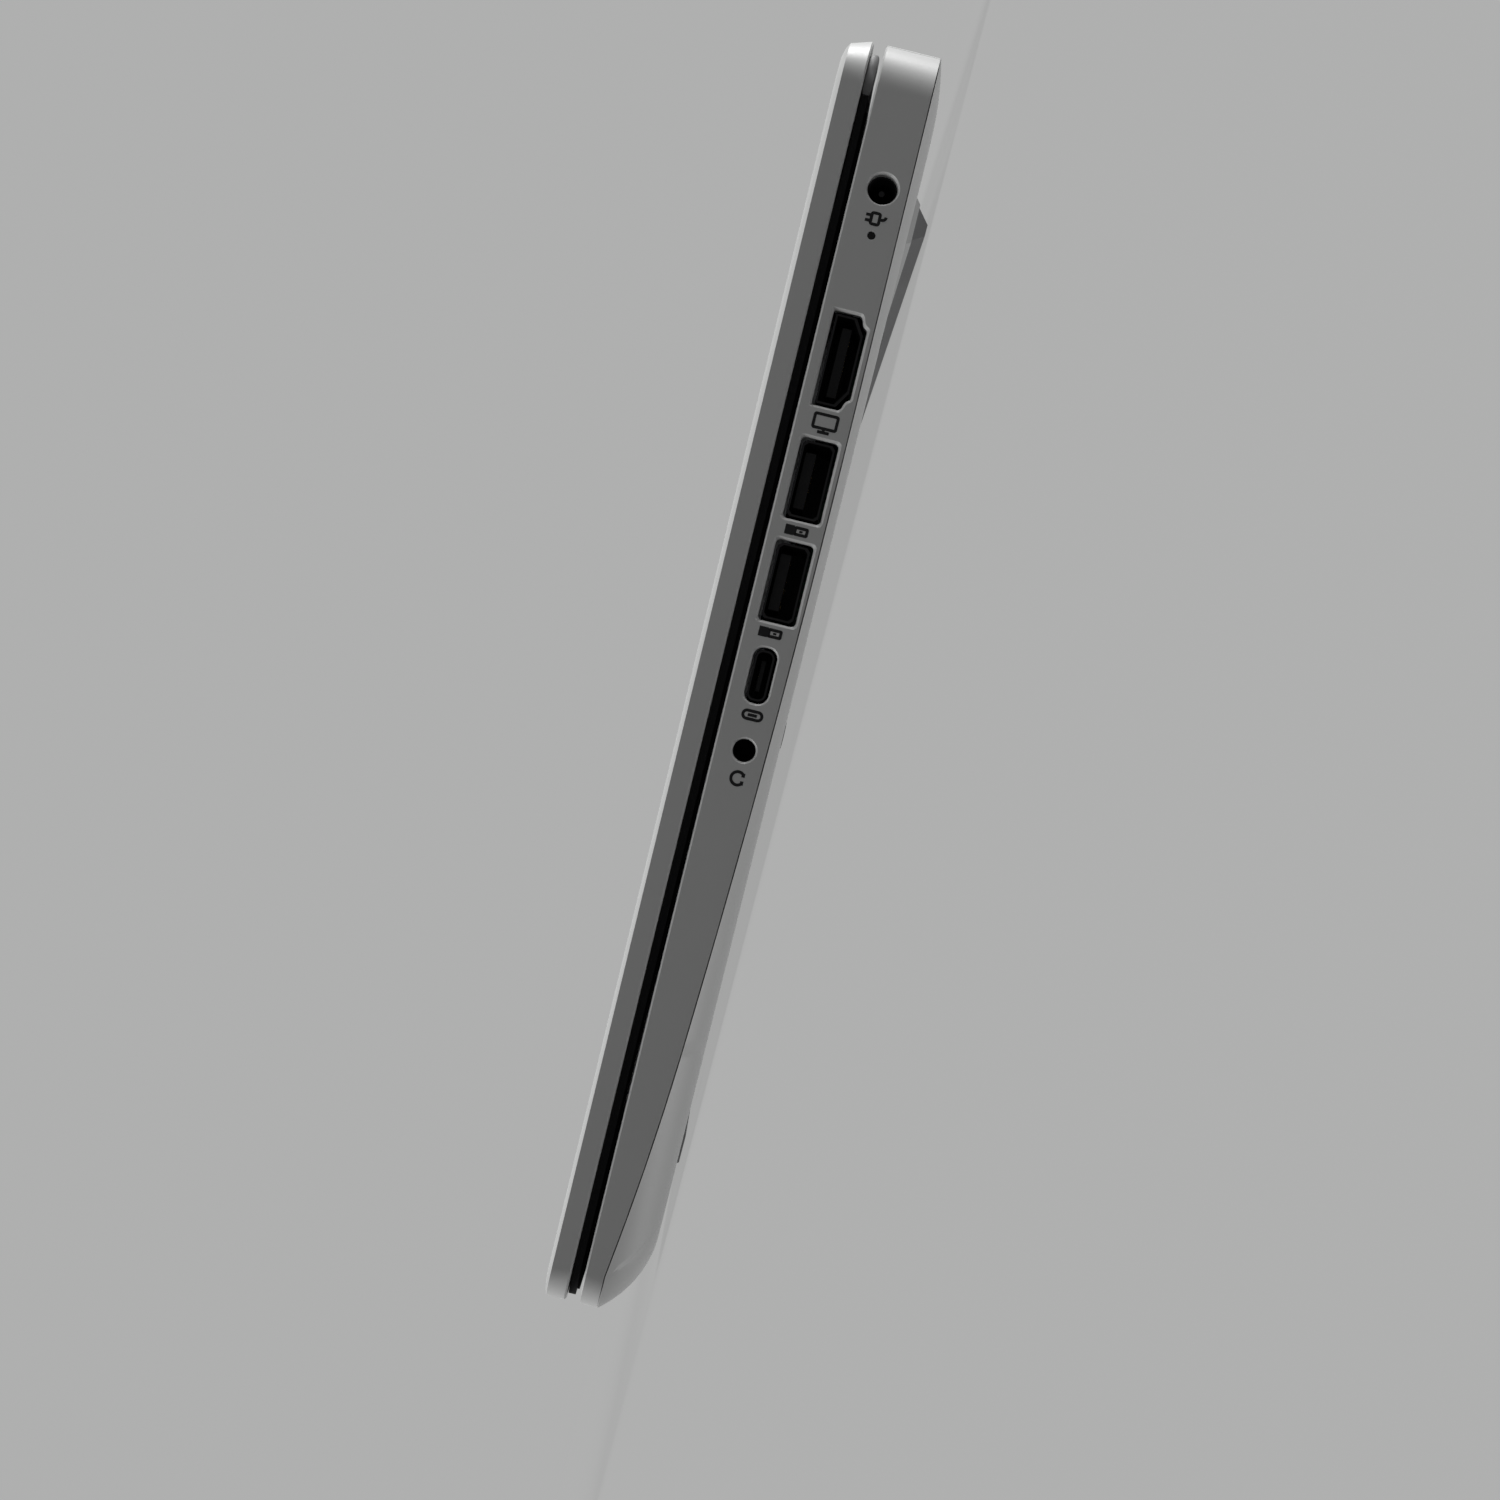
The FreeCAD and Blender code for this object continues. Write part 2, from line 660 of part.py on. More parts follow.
def shell_of(outline, depth):
    """Folded metal shell of a socket, a little smaller than its cut-out and set back in it."""
    x1 = HALF_X - PORT_RECESS
    x0 = x1 - depth
    outer = loft([outline(x0, -PORT_FIT), outline(x1, -PORT_FIT)])
    shrink = -PORT_FIT - PORT_SHELL
    inner = loft([outline(x0 - PORT_FIT, shrink), outline(x1 + PORT_FIT, shrink)])
    return outer.cut(inner)


def core_of(back, drop, width, height, depth, tongue, tongue_rise):
    """Moulded core of a socket: a block behind the shell that stands on the board, and its tongue."""
    x0 = HALF_X - PORT_RECESS - depth
    half = width / 2 - PORT_FIT
    top = height / 2 - drop - PORT_FIT
    rear_block = block(x0 - CORE_BLOCK, x0, back - half, back + half, -BOARD_TOP, top)
    reach = half - PORT_SHELL - VIDEO_STEP / 2
    middle = tongue_rise - drop
    blade = block(x0, HALF_X - PORT_RECESS - TONGUE_SHORT, back - reach, back + reach,
                  middle - tongue / 2, middle + tongue / 2)
    return rear_block.fuse(blade)


def make_port_cores():
    """The four moulded cores with their tongues."""
    cores = [
        core_of(VIDEO_BACK, VIDEO_DROP, VIDEO_WIDTH, VIDEO_HEIGHT, PORT_DEPTH, VIDEO_TONGUE,
                VIDEO_TONGUE_RISE),
        core_of(TYPE_C_BACK, TYPE_C_DROP, TYPE_C_WIDTH, TYPE_C_HEIGHT, TYPE_C_DEPTH, TYPE_C_TONGUE, 0),
    ]
    for back in (TYPE_A_REAR_BACK, TYPE_A_FRONT_BACK):
        cores.append(core_of(back, TYPE_A_DROP, TYPE_A_WIDTH, TYPE_A_HEIGHT, PORT_DEPTH, TYPE_A_TONGUE,
                             TYPE_A_TONGUE_RISE))
    return cores


def jack_body(back, drop, bore):
    """Moulded housing of a round socket, with a blind bore."""
    x1 = HALF_X - WALL
    half = JACK_HOUSING + PORT_SHELL
    housing = block(x1 - JACK_LENGTH, x1, back - half, back + half, -drop - JACK_HOUSING, JACK_HOUSING - drop)
    return housing.cut(rod(x1 - JACK_LENGTH + BORE_END, x1 + PORT_FIT, back, -drop, bore))


def make_power_pin():
    """Centre contact of the power socket."""
    x0 = HALF_X - WALL - JACK_LENGTH + BORE_END
    return rod(x0, HALF_X - WALL - POWER_PIN_SHORT, POWER_BACK, -POWER_DROP, POWER_PIN)


def make_charge_light():
    """Clear light guide that shows in the small hole beside the power socket."""
    return rod(HALF_X - WALL - CORE_BLOCK, HALF_X - PORT_FIT / 2, LIGHT_BACK, -POWER_DROP,
               LIGHT_RADIUS - COVER_FIT)


# Casing of the base

def keyboard_span():
    """X half-width, rear and front edge of the field of keys, with its border."""
    half = HALF_X - KEYBOARD_MARGIN + KEYBOARD_BORDER
    return half, KEYBOARD_BACK - KEYBOARD_BORDER, KEYBOARD_FRONT + KEYBOARD_BORDER


def touchpad_plate(grow, z0, z1):
    """Slab with the touchpad's outline, grown on all sides."""
    half = TOUCHPAD_WIDTH / 2 + grow
    wire = cap_outline(-half, half, TOUCHPAD_BACK - grow, TOUCHPAD_BACK + TOUCHPAD_LENGTH + grow, z0)
    return Part.Face(wire).extrude(Vector(0, 0, z1 - z0))


def hinge_slot(sign):
    """Slot in the deck through which a hinge bracket rises."""
    far = HINGE_HALF - COVER_FIT
    near = far - KNUCKLE_LENGTH - 2 * POCKET_FIT
    low, high = sorted((sign * near, sign * far))
    return block(low, high, riser_back() - POCKET_FIT, riser_back() + HINGE_RISER + POCKET_FIT,
                 -2 * DECK_SKIN, DECK_SKIN)


def riser_back():
    """Rear face of the hinge riser: just in front of the rear trim."""
    return REAR_TRIM + 2 * PART_LINE


def base_shell():
    """Outer body above the parting line, with the chamfered deck edge and the bevel at the front."""
    body = loft([plan(0, level(-UNDER_REAR)), plan(0, level(-EDGE_CHAMFER)), plan(EDGE_CHAMFER, level(0))])
    body = body.cut(below_seam(0))
    bevel = along_x([(DEPTH - LIFT_BEVEL_LENGTH, 0), (DEPTH + WALL, -LIFT_BEVEL_DROP),
                     (DEPTH + WALL, WALL), (DEPTH - LIFT_BEVEL_LENGTH, WALL)], -HALF_X - WALL, HALF_X + WALL)
    return body.cut(bevel)


def behind(back):
    """Everything behind a plane across the body."""
    return block(-HALF_X - WALL, HALF_X + WALL, -WALL, back, -2 * UNDER_REAR, 2 * LID_TOP_REAR)


def make_top_case():
    """Deck and side walls in one moulding, with its openings and port cut-outs."""
    hollow = Part.Face(plan(WALL, level(-2 * UNDER_REAR))).extrude(Vector(0, 0, 2 * UNDER_REAR - DECK_SKIN))
    half, key_rear, key_front = keyboard_span()
    grille_half = GRILLE_LENGTH / 2
    cuts = [
        behind(REAR_TRIM + PART_LINE),
        hollow,
        block(-half, half, key_rear, key_front, -2 * DECK_SKIN, DECK_SKIN),
        touchpad_plate(TOUCHPAD_CLEARANCE, -2 * DECK_SKIN, DECK_SKIN),
        block(-grille_half, grille_half, GRILLE_BACK, GRILLE_BACK + GRILLE_WIDTH, -2 * DECK_SKIN, DECK_SKIN),
        hinge_slot(1),
        hinge_slot(-1),
    ]
    cuts += port_cut(video_outline) + port_cut(type_c_outline)
    cuts += port_cut(type_a_outline(TYPE_A_REAR_BACK)) + port_cut(type_a_outline(TYPE_A_FRONT_BACK))
    cuts += round_cut(POWER_BACK, POWER_DROP, POWER_HOLE)
    cuts += round_cut(HEADSET_BACK, HEADSET_DROP, HEADSET_HOLE)
    cuts.append(rod(HALF_X - WALL - PORT_FIT, HALF_X + PORT_FIT, LIGHT_BACK, -POWER_DROP, LIGHT_RADIUS))
    return base_shell().cut(cuts)


def make_rear_trim():
    """Strip across the rear of the base, with the exhaust slots behind the heat sink."""
    front = block(-HALF_X - WALL, HALF_X + WALL, REAR_TRIM, DEPTH + WALL, -2 * UNDER_REAR, WALL)
    trim = base_shell().cut(front)
    slots = []
    start = FAN_X - EXHAUST_PITCH * (EXHAUST_SLOTS - 1) / 2
    for i in range(EXHAUST_SLOTS):
        x = start + i * EXHAUST_PITCH
        low = -SEAM_REAR + (SEAM_REAR - EXHAUST_SLOT_HEIGHT) / 4
        slots.append(block(x - EXHAUST_SLOT_WIDTH / 2, x + EXHAUST_SLOT_WIDTH / 2, -WALL, 2 * REAR_TRIM,
                           low, low + EXHAUST_SLOT_HEIGHT))
    return trim.cut(slots)


def make_bottom_cover():
    """Tray that closes the base from below, with its plinth and intake slots."""
    cover = tray(0, -PART_LINE, UNDER_INSET, UNDER_CORNER, underside(0))
    border = UNDER_INSET + WALL
    well = rounded(border - HALF_X, HALF_X - border, border - HALF_Y, HALF_Y - border,
                   UNDER_CORNER, UNDER_CORNER, underside(FLOOR_SKIN))
    cover = cover.cut(Part.Face(well).extrude(Vector(0, 0, UNDER_REAR))).fuse(make_plinth())
    cuts = []
    for column in range(INTAKE_COLUMNS):
        x = FAN_X + (column - (INTAKE_COLUMNS - 3) / 2) * INTAKE_PITCH
        for row in range(INTAKE_ROWS):
            back = INTAKE_BACK + row * INTAKE_ROW_PITCH
            cuts.append(block(x - INTAKE_SLOT / 2, x + INTAKE_SLOT / 2, back, back + INTAKE_SLOT_WIDTH,
                              -2 * UNDER_REAR, under_at(back) + 2 * FLOOR_SKIN))
    return cover.cut(cuts + [make_front_foot()])


# Keyboard

def key_places():
    """Each key as (node, x0, x1, back0, back1): the cap's outline at its foot."""
    unit = (WIDTH - 2 * KEYBOARD_MARGIN) / UNITS
    keys = []
    back = KEYBOARD_BACK
    for node, widths in KEY_ROWS:
        pitch = FUNCTION_PITCH if node == "keys_function_row" else ROW_PITCH
        x = KEYBOARD_MARGIN - HALF_X
        for index, width in enumerate(widths):
            x0, x1 = x + KEY_GAP / 2, x + width * unit - KEY_GAP / 2
            back0, back1 = back + KEY_GAP / 2, back + pitch - KEY_GAP / 2
            name = SINGLE_KEYS.get((node, index), node)
            if (node, index) == ARROW_PAIR:
                middle = (back0 + back1) / 2
                keys.append((name, x0, x1, back0, middle - ARROW_SPLIT / 2))
                keys.append((name, x0, x1, middle + ARROW_SPLIT / 2, back1))
            else:
                keys.append((name, x0, x1, back0, back1))
            x += width * unit
        back += pitch
    return keys


def cap_outline(x0, x1, back0, back1, z):
    """Rectangle with its corners cut off."""
    y0, y1 = rear(back1), rear(back0)
    cut = KEY_CORNER
    places = [(x0 + cut, y0), (x1 - cut, y0), (x1, y0 + cut), (x1, y1 - cut),
              (x1 - cut, y1), (x0 + cut, y1), (x0, y1 - cut), (x0, y0 + cut)]
    corners = [Vector(x, y, z) for x, y in places]
    return Part.makePolygon(corners + corners[:1])


def make_key(x0, x1, back0, back1):
    """Key cap, tapered towards its top."""
    taper = KEY_TOP_INSET
    return loft([
        cap_outline(x0, x1, back0, back1, -KEY_BOTTOM),
        cap_outline(x0 + taper, x1 - taper, back0 + taper, back1 - taper, -KEY_TOP),
    ])


def make_keys():
    """Key caps, grouped by node."""
    groups = {}
    for node, x0, x1, back0, back1 in key_places():
        groups.setdefault(node, []).append(make_key(x0, x1, back0, back1))
    return groups


def make_keyboard_frame():
    """Web between the keys: a thin plate set in the deck, with a hole for each cap."""
    half, back0, back1 = keyboard_span()
    plate = block(-half + FRAME_FIT, half - FRAME_FIT, back0 + FRAME_FIT, back1 - FRAME_FIT, -DECK_SKIN,
                  -FRAME_RECESS)
    grow = KEY_HOLE_CLEARANCE
    holes = [block(x0 - grow, x1 + grow, a - grow, b + grow, -2 * DECK_SKIN, DECK_SKIN)
             for node, x0, x1, a, b in key_places()]
    return plate.cut(holes)


def standoff_places():
    """(x, back) of the standoffs on the keyboard plate that carry the motherboard."""
    left = -BOARD_LEFT + 2 * STANDOFF_RADIUS
    middle = MEMORY_X - 2 * STANDOFF_RADIUS
    right = BOARD_RIGHT - 10 * STANDOFF_RADIUS
    near, far = BOARD_BACK + 4 * STANDOFF_RADIUS, BOARD_FRONT - 2 * STANDOFF_RADIUS
    return [(left, near), (middle, near), (middle, far), (right, far)]


def make_keyboard_plate():
    """Steel pan under the keys, fixed to the deck by its raised rim, with standoffs for the board."""
    half, back0, back1 = keyboard_span()
    reach = KEYBOARD_RIM - KEYBOARD_LEDGE
    pan = block(-half - reach, half + reach, back0 - reach, back1 + reach, -PLATE_UNDER, -DECK_SKIN)
    inside = half - KEYBOARD_LEDGE
    well = block(-inside, inside, back0 + KEYBOARD_LEDGE, back1 - KEYBOARD_LEDGE, -PLATE_TOP, WALL)
    size = STANDOFF_RADIUS
    standoffs = [block(x - size, x + size, back - size, back + size, -BOARD_TOP, -PLATE_UNDER)
                 for x, back in standoff_places()]
    return pan.cut(well).fuse(standoffs)


# Touchpad

def bead_place():
    """(back, z) of the touchpad's pivot bead."""
    return TOUCHPAD_BACK + TOUCHPAD_BEAD, -TOUCHPAD_TOP - TOUCHPAD_THICKNESS


def make_touchpad():
    """Glass-topped plate that pivots on a bead along its rear edge."""
    half = TOUCHPAD_WIDTH / 2
    plate = touchpad_plate(0, -TOUCHPAD_TOP - TOUCHPAD_THICKNESS, -TOUCHPAD_TOP)
    back, z = bead_place()
    return plate.fuse(rod(KEY_CORNER - half, half - KEY_CORNER, back, z, TOUCHPAD_BEAD))


def bracket_top():
    """Height of the touchpad bracket's upper face."""
    return -TOUCHPAD_TOP - TOUCHPAD_THICKNESS - BRACKET_DROP


def make_touchpad_bracket():
    """Pressed pan under the touchpad, fixed to the deck by a rim, with two saddles for the bead."""
    half = TOUCHPAD_WIDTH / 2 + TOUCHPAD_CLEARANCE
    back0, back1 = TOUCHPAD_BACK - TOUCHPAD_CLEARANCE, TOUCHPAD_BACK + TOUCHPAD_LENGTH + TOUCHPAD_CLEARANCE
    low = bracket_top() - BRACKET_THICKNESS
    flange = BRACKET_FLANGE / 2
    pan = block(-half - flange, half + flange, back0 - flange, back1 + flange, low, -DECK_SKIN)
    pan = pan.cut(block(-half, half, back0, back1, bracket_top(), WALL))
    back, z = bead_place()
    saddles = []
    for sign in (-1, 1):
        middle = sign * (TOUCHPAD_WIDTH / 2 - 2 * SADDLE_LENGTH)
        saddles.append(block(middle - SADDLE_LENGTH / 2, middle + SADDLE_LENGTH / 2, back0,
                             back + 2 * TOUCHPAD_BEAD, bracket_top(), z - 2 * COVER_FIT))
    bead = rod(-half, half, back, z, TOUCHPAD_BEAD + HINGE_PIN_CLEARANCE)
    return pan.fuse(saddles).cut(bead)


def make_touchpad_switch():
    """Press switch under the front of the touchpad."""
    back = TOUCHPAD_BACK + TOUCHPAD_LENGTH - 2 * SWITCH_SIZE
    body = block(-SWITCH_SIZE / 2, SWITCH_SIZE / 2, back, back + SWITCH_SIZE, bracket_top(),
                 bracket_top() + BRACKET_DROP / 3)
    top = -TOUCHPAD_TOP - TOUCHPAD_THICKNESS - TOUCHPAD_TRAVEL - COVER_FIT
    button = post(0, back + SWITCH_SIZE / 2, bracket_top() + BRACKET_DROP / 3, top, SWITCH_SIZE / 4)
    return body.fuse(button)


def make_speaker_grille():
    """Slotted strip let into the deck behind the keyboard."""
    half = GRILLE_LENGTH / 2 - GRILLE_FIT
    back0, back1 = GRILLE_BACK + GRILLE_FIT, GRILLE_BACK + GRILLE_WIDTH - GRILLE_FIT
    strip = block(-half, half, back0, back1, -DECK_SKIN, GRILLE_THICKNESS - DECK_SKIN)
    pitch = (2 * half - GRILLE_SLOT) / GRILLE_COLUMNS
    row_pitch = (back1 - back0) / GRILLE_ROWS
    slots = []
    for column in range(GRILLE_COLUMNS):
        for row in range(GRILLE_ROWS):
            x = (column - (GRILLE_COLUMNS - 1) / 2) * pitch
            back = back0 + (row + 0.5) * row_pitch
            slots.append(block(x - GRILLE_SLOT / 2, x + GRILLE_SLOT / 2, back - GRILLE_SLOT_WIDTH / 2,
                               back + GRILLE_SLOT_WIDTH / 2, -2 * DECK_SKIN, DECK_SKIN))
    return strip.cut(slots)


# Hinge

def hinge_cover_profile(x0, x1, radius, neck_rear, neck_front):
    """Round barrel about the hinge axis on a straight neck that stands on the deck."""
    neck = block(x0, x1, neck_rear, neck_front, 0, HINGE_RISE)
    return rod(x0, x1, HINGE_BACK, HINGE_RISE, radius).fuse(neck)


def make_hinge_cover():
    """Long moulded barrel over both hinges, open at its ends for the knuckles."""
    neck_rear = HINGE_BACK - HINGE_NECK / 2 + (HINGE_RISER - WALL)
    neck_front = neck_rear + HINGE_NECK
    cover = hinge_cover_profile(-HINGE_HALF, HINGE_HALF, HINGE_COVER_RADIUS, neck_rear, neck_front)
    depth = KNUCKLE_LENGTH + 2 * POCKET_FIT
    cuts = []
    for sign in (-1, 1):
        low, high = sorted((sign * (HINGE_HALF - depth), sign * (HINGE_HALF + WALL)))
        cuts.append(rod(low, high, HINGE_BACK, HINGE_RISE, KNUCKLE_RADIUS + COVER_FIT))
        cuts.append(block(low, high, riser_back() - COVER_FIT, riser_back() + HINGE_RISER + COVER_FIT,
                          -WALL, HINGE_RISE))
    return cover.cut(cuts)


def make_hinge_bracket():
    """Right-hand steel bracket: plate under the deck, riser through the slot, knuckle on the axis."""
    x1 = HINGE_HALF - COVER_FIT - POCKET_FIT
    x0 = x1 - KNUCKLE_LENGTH
    middle = (x0 + x1) / 2
    low = -DECK_SKIN - HINGE_PLATE
    back = riser_back()
    plate = block(middle - HINGE_PLATE_WIDTH / 2, middle + HINGE_PLATE_WIDTH / 2, back,
                  back + HINGE_PLATE_LENGTH, low, -DECK_SKIN)
    riser = block(x0, x1, back, back + HINGE_RISER, low, HINGE_RISE)
    bracket = plate.fuse([riser, rod(x0, x1, HINGE_BACK, HINGE_RISE, KNUCKLE_RADIUS)])
    bore = HINGE_PIN_RADIUS + HINGE_PIN_CLEARANCE
    return bracket.cut(rod(x0 - WALL, x1 + WALL, HINGE_BACK, HINGE_RISE, bore))


def arm_span():
    """X range of the lug on the right-hand hinge arm."""
    return NOTCH_HALF + NOTCH_CLEARANCE, NOTCH_HALF + NOTCH_CLEARANCE + HINGE_ARM_LUG


def lug_heights():
    """Lowest and highest Z of the hinge arm's lug."""
    return BEZEL_TOP + COVER_FIT, HINGE_RISE + HINGE_PIN_RADIUS + 2 * POCKET_FIT


def arm_plate_heights():
    """Z range of the hinge arm's plate, close under the skin of the lid."""
    skin = slope(LID_TOP_REAR - LID_SKIN, LID_TOP_FRONT - LID_SKIN)
    top = skin(rear(arm_plate_backs()[1])) - POCKET_FIT
    return top - HINGE_PLATE, top


def lug(x0, x1, grow):
    """Rounded lug about the hinge axis that reaches into the lid."""
    low, high = lug_heights()
    bar = block(x0, x1, HINGE_BACK, LID_REAR_BAND + HINGE_ARM_LUG / 2 + grow, low - grow, high + grow)
    return rod(x0, x1, HINGE_BACK, HINGE_RISE, HINGE_LUG_RADIUS + grow).fuse(bar)


def arm_plate_backs():
    """Front and rear edge of the hinge arm's plate: the room between the rear band and the panel."""
    return LID_REAR_BAND + 2 * POCKET_FIT, panel_back() - 2 * POCKET_FIT


def make_hinge_arm():
    """Right-hand steel arm in the lid: plate under the skin, lug, and the hinge pin."""
    x0, x1 = arm_span()
    low, high = arm_plate_heights()
    back0, back1 = arm_plate_backs()
    plate = block(x0, x0 + HINGE_ARM_PLATE_WIDTH, back0, back1, low, high)
    riser = block(x0, x1, back0, LID_REAR_BAND + HINGE_ARM_LUG / 2, lug_heights()[0], high)
    pin = rod(HINGE_HALF - KNUCKLE_LENGTH, x1, HINGE_BACK, HINGE_RISE, HINGE_PIN_RADIUS)
    return plate.fuse([riser, lug(x0, x1, 0), pin])


# Lid

def panel_back():
    """Rear edge of the display panel."""
    return PANEL_LOWER_BORDER - PANEL_CHIN


def notch():
    """Notch in the rear of the lid round the hinge cover."""
    return block(-NOTCH_HALF, NOTCH_HALF, -WALL, NOTCH_BACK, -WALL, 2 * LID_TOP_REAR)


def lid_outer():
    """Outside of the lid: chamfered rim, upright wall, and a top edge that rounds over."""
    crease = slope(LID_CREASE_REAR, LID_CREASE_FRONT)
    top = slope(LID_TOP_REAR, LID_TOP_FRONT)
    sections = [
        plan(EDGE_CHAMFER, level(RIM_GAP)),
        plan(0, level(RIM_GAP + EDGE_CHAMFER)),
        plan(0, crease, LID_REAR_SLOPE),
    ]
    for inward, upward in ((0.22, 0.55), (0.55, 0.9), (1.0, 1.0)):
        inset = LID_CROWN_WIDTH * inward

        def height(y, share=upward):
            return crease(y) + share * (top(y) - crease(y))

        sections.append(plan(inset, height, LID_REAR_SLOPE + inset))
    return loft(sections)


def lid_hollow():
    """Room inside the lid, open at the rim."""
    inner = slope(LID_TOP_REAR - LID_SKIN, LID_TOP_FRONT - LID_SKIN)
    ledge = slope(LID_CREASE_REAR - LID_SKIN, LID_CREASE_FRONT - LID_SKIN)
    return loft([
        plan(LID_WALL, level(RIM_GAP - WALL), LID_REAR_BAND),
        plan(LID_WALL, ledge, LID_REAR_BAND),
        plan(LID_CROWN_WIDTH, inner, LID_REAR_BAND),
    ])


def make_lid_cover():
    """Outer shell of the lid, with the hinge notch and pockets for the hinge arms."""
    x1 = arm_span()[1]
    pocket = lug(NOTCH_HALF - WALL, x1 + POCKET_FIT, POCKET_FIT)
    cuts = [lid_hollow(), notch(), pocket, mirrored(pocket)]
    low = lug_heights()[0]
    opening = block(NOTCH_HALF - WALL, x1 + POCKET_FIT, HINGE_BACK, LID_REAR_BAND + WALL, 0, low)
    cuts += [opening, mirrored(opening)]
    return lid_outer().cut(cuts)


def screen_span():
    """Half-width, rear edge and front edge of the part of the screen that shows."""
    return HALF_X - PANEL_SIDE_BORDER, PANEL_LOWER_BORDER, DEPTH - PANEL_TOP_BORDER


def make_display_panel():
    """Flat display module behind the bezel."""
    half, back0, back1 = screen_span()
    return block(-half - PANEL_MARGIN, half + PANEL_MARGIN, panel_back(), back1 + PANEL_MARGIN,
                 PANEL_FACE, PANEL_FACE + PANEL_THICKNESS)


def camera_back():
    """Middle of the camera strip, in the border above the screen."""
    return screen_span()[2] + PANEL_MARGIN + 2 * POCKET_FIT + CAMERA_WIDTH / 2


def make_screen_bezel():
    """Black frame round the screen, with the hinge notch and the camera's window."""
    frame = Part.Face(plan(BEZEL_INSET, level(BEZEL_UNDERSIDE), BEZEL_REAR))
    frame = frame.extrude(Vector(0, 0, BEZEL_TOP - BEZEL_UNDERSIDE))
    half, back0, back1 = screen_span()
    window = block(-half, half, back0, back1, 0, LID_TOP_REAR)
    lens = post(0, camera_back(), 0, LID_TOP_REAR, LENS_RADIUS + LENS_HOLE_CLEARANCE)
    return frame.cut([window, notch(), lens])


def make_lid_bumper():
    """Soft strip round the sides and top of the bezel that meets the deck."""
    inset = BEZEL_INSET + BUMPER_INSET
    outer = Part.Face(plan(inset, level(BUMPER_GAP)))
    inner = Part.Face(plan(inset + BUMPER_WIDTH, level(BUMPER_GAP)))
    strip = outer.cut(inner).extrude(Vector(0, 0, BEZEL_UNDERSIDE - BUMPER_GAP))
    return strip.cut(behind(LID_REAR_BAND + HINGE_ARM_LUG))


def make_camera_module():
    """Narrow board above the screen with the camera's lens barrel."""
    back = camera_back()
    board = block(-CAMERA_LENGTH / 2, CAMERA_LENGTH / 2, back - CAMERA_WIDTH / 2, back + CAMERA_WIDTH / 2,
                  PANEL_FACE, PANEL_FACE + CAMERA_THICKNESS)
    return board.fuse(post(0, back, BEZEL_UNDERSIDE + EDGE_CHAMFER, PANEL_FACE, LENS_RADIUS))


def make_antenna():
    """Right-hand flat aerial beside the camera."""
    back = camera_back()
    return block(ANTENNA_SPREAD, ANTENNA_SPREAD + ANTENNA_LENGTH, back - CAMERA_WIDTH / 2,
                 back + CAMERA_WIDTH / 2, PANEL_FACE, PANEL_FACE + ANTENNA_THICKNESS)


# Electronics and cooling

def make_motherboard():
    """Printed board along the right-hand side, with an arm under the storage module."""
    main = block(-BOARD_LEFT, BOARD_RIGHT, BOARD_BACK, BOARD_FRONT, -BOARD_UNDER, -BOARD_TOP)
    arm = block(-BOARD_LEFT - BOARD_ARM_LENGTH, -BOARD_LEFT, BOARD_FRONT - BOARD_ARM_WIDTH, BOARD_FRONT,
                -BOARD_UNDER, -BOARD_TOP)
    return main.fuse(arm).removeSplitter()


def memory_places():
    """Rear edge of each memory module."""
    return [MEMORY_BACK, MEMORY_BACK + MEMORY_PITCH]


def storage_corner():
    """X of the left end and the rear edge of the storage module."""
    return -BOARD_LEFT - BOARD_ARM_LENGTH + SOCKET_WIDTH, BOARD_FRONT - BOARD_ARM_WIDTH + SOCKET_HEIGHT


def make_board_chips():
    """Processor and the sockets of the plug-in modules."""
    half = CHIP_SIZE / 2
    pieces = [block(CHIP_X - half, CHIP_X + half, CHIP_BACK - half, CHIP_BACK + half, -BOARD_TOP, -CHIP_TOP)]
    for back in memory_places():
        pieces.append(block(MEMORY_X, MEMORY_X + MEMORY_LENGTH, back - SOCKET_WIDTH, back, -BOARD_TOP,
                            SOCKET_HEIGHT - BOARD_TOP))
    x, back = storage_corner()
    pieces.append(block(x + STORAGE_LENGTH, x + STORAGE_LENGTH + SOCKET_WIDTH, back, back + STORAGE_WIDTH,
                        -BOARD_TOP, SOCKET_HEIGHT - BOARD_TOP))
    pieces.append(post(x + SOCKET_WIDTH / 2, back + STORAGE_WIDTH / 2, -BOARD_TOP, STORAGE_RISE - BOARD_TOP,
                       STANDOFF_RADIUS))
    pieces.append(block(RADIO_X - SOCKET_WIDTH, RADIO_X, RADIO_BACK, RADIO_BACK + RADIO_WIDTH, -BOARD_TOP,
                        SOCKET_HEIGHT - BOARD_TOP))
    return pieces


def make_memory_modules():
    """Two memory modules that plug into their sockets."""
    low = MEMORY_RISE - BOARD_TOP
    return [block(MEMORY_X, MEMORY_X + MEMORY_LENGTH, back, back + MEMORY_WIDTH, low, low + MEMORY_THICKNESS)
            for back in memory_places()]


def make_storage_module():
    """Long thin storage card on its socket and standoff."""
    x, back = storage_corner()
    low = STORAGE_RISE - BOARD_TOP
    face, top = low + STORAGE_THICKNESS / 3, low + STORAGE_THICKNESS
    card = block(x, x + STORAGE_LENGTH, back, back + STORAGE_WIDTH, low, face)
    pitch = STORAGE_LENGTH / STORAGE_CHIPS
    margin = SOCKET_WIDTH / 2
    chips = [block(x + i * pitch + margin, x + (i + 1) * pitch - margin, back + margin,
                   back + STORAGE_WIDTH - margin, face, top) for i in range(STORAGE_CHIPS)]
    return card.fuse(chips)


def make_radio_card():
    """Small radio card on its socket."""
    low = STORAGE_RISE - BOARD_TOP
    return block(RADIO_X, RADIO_X + RADIO_LENGTH, RADIO_BACK, RADIO_BACK + RADIO_WIDTH, low,
                 low + STORAGE_THICKNESS)


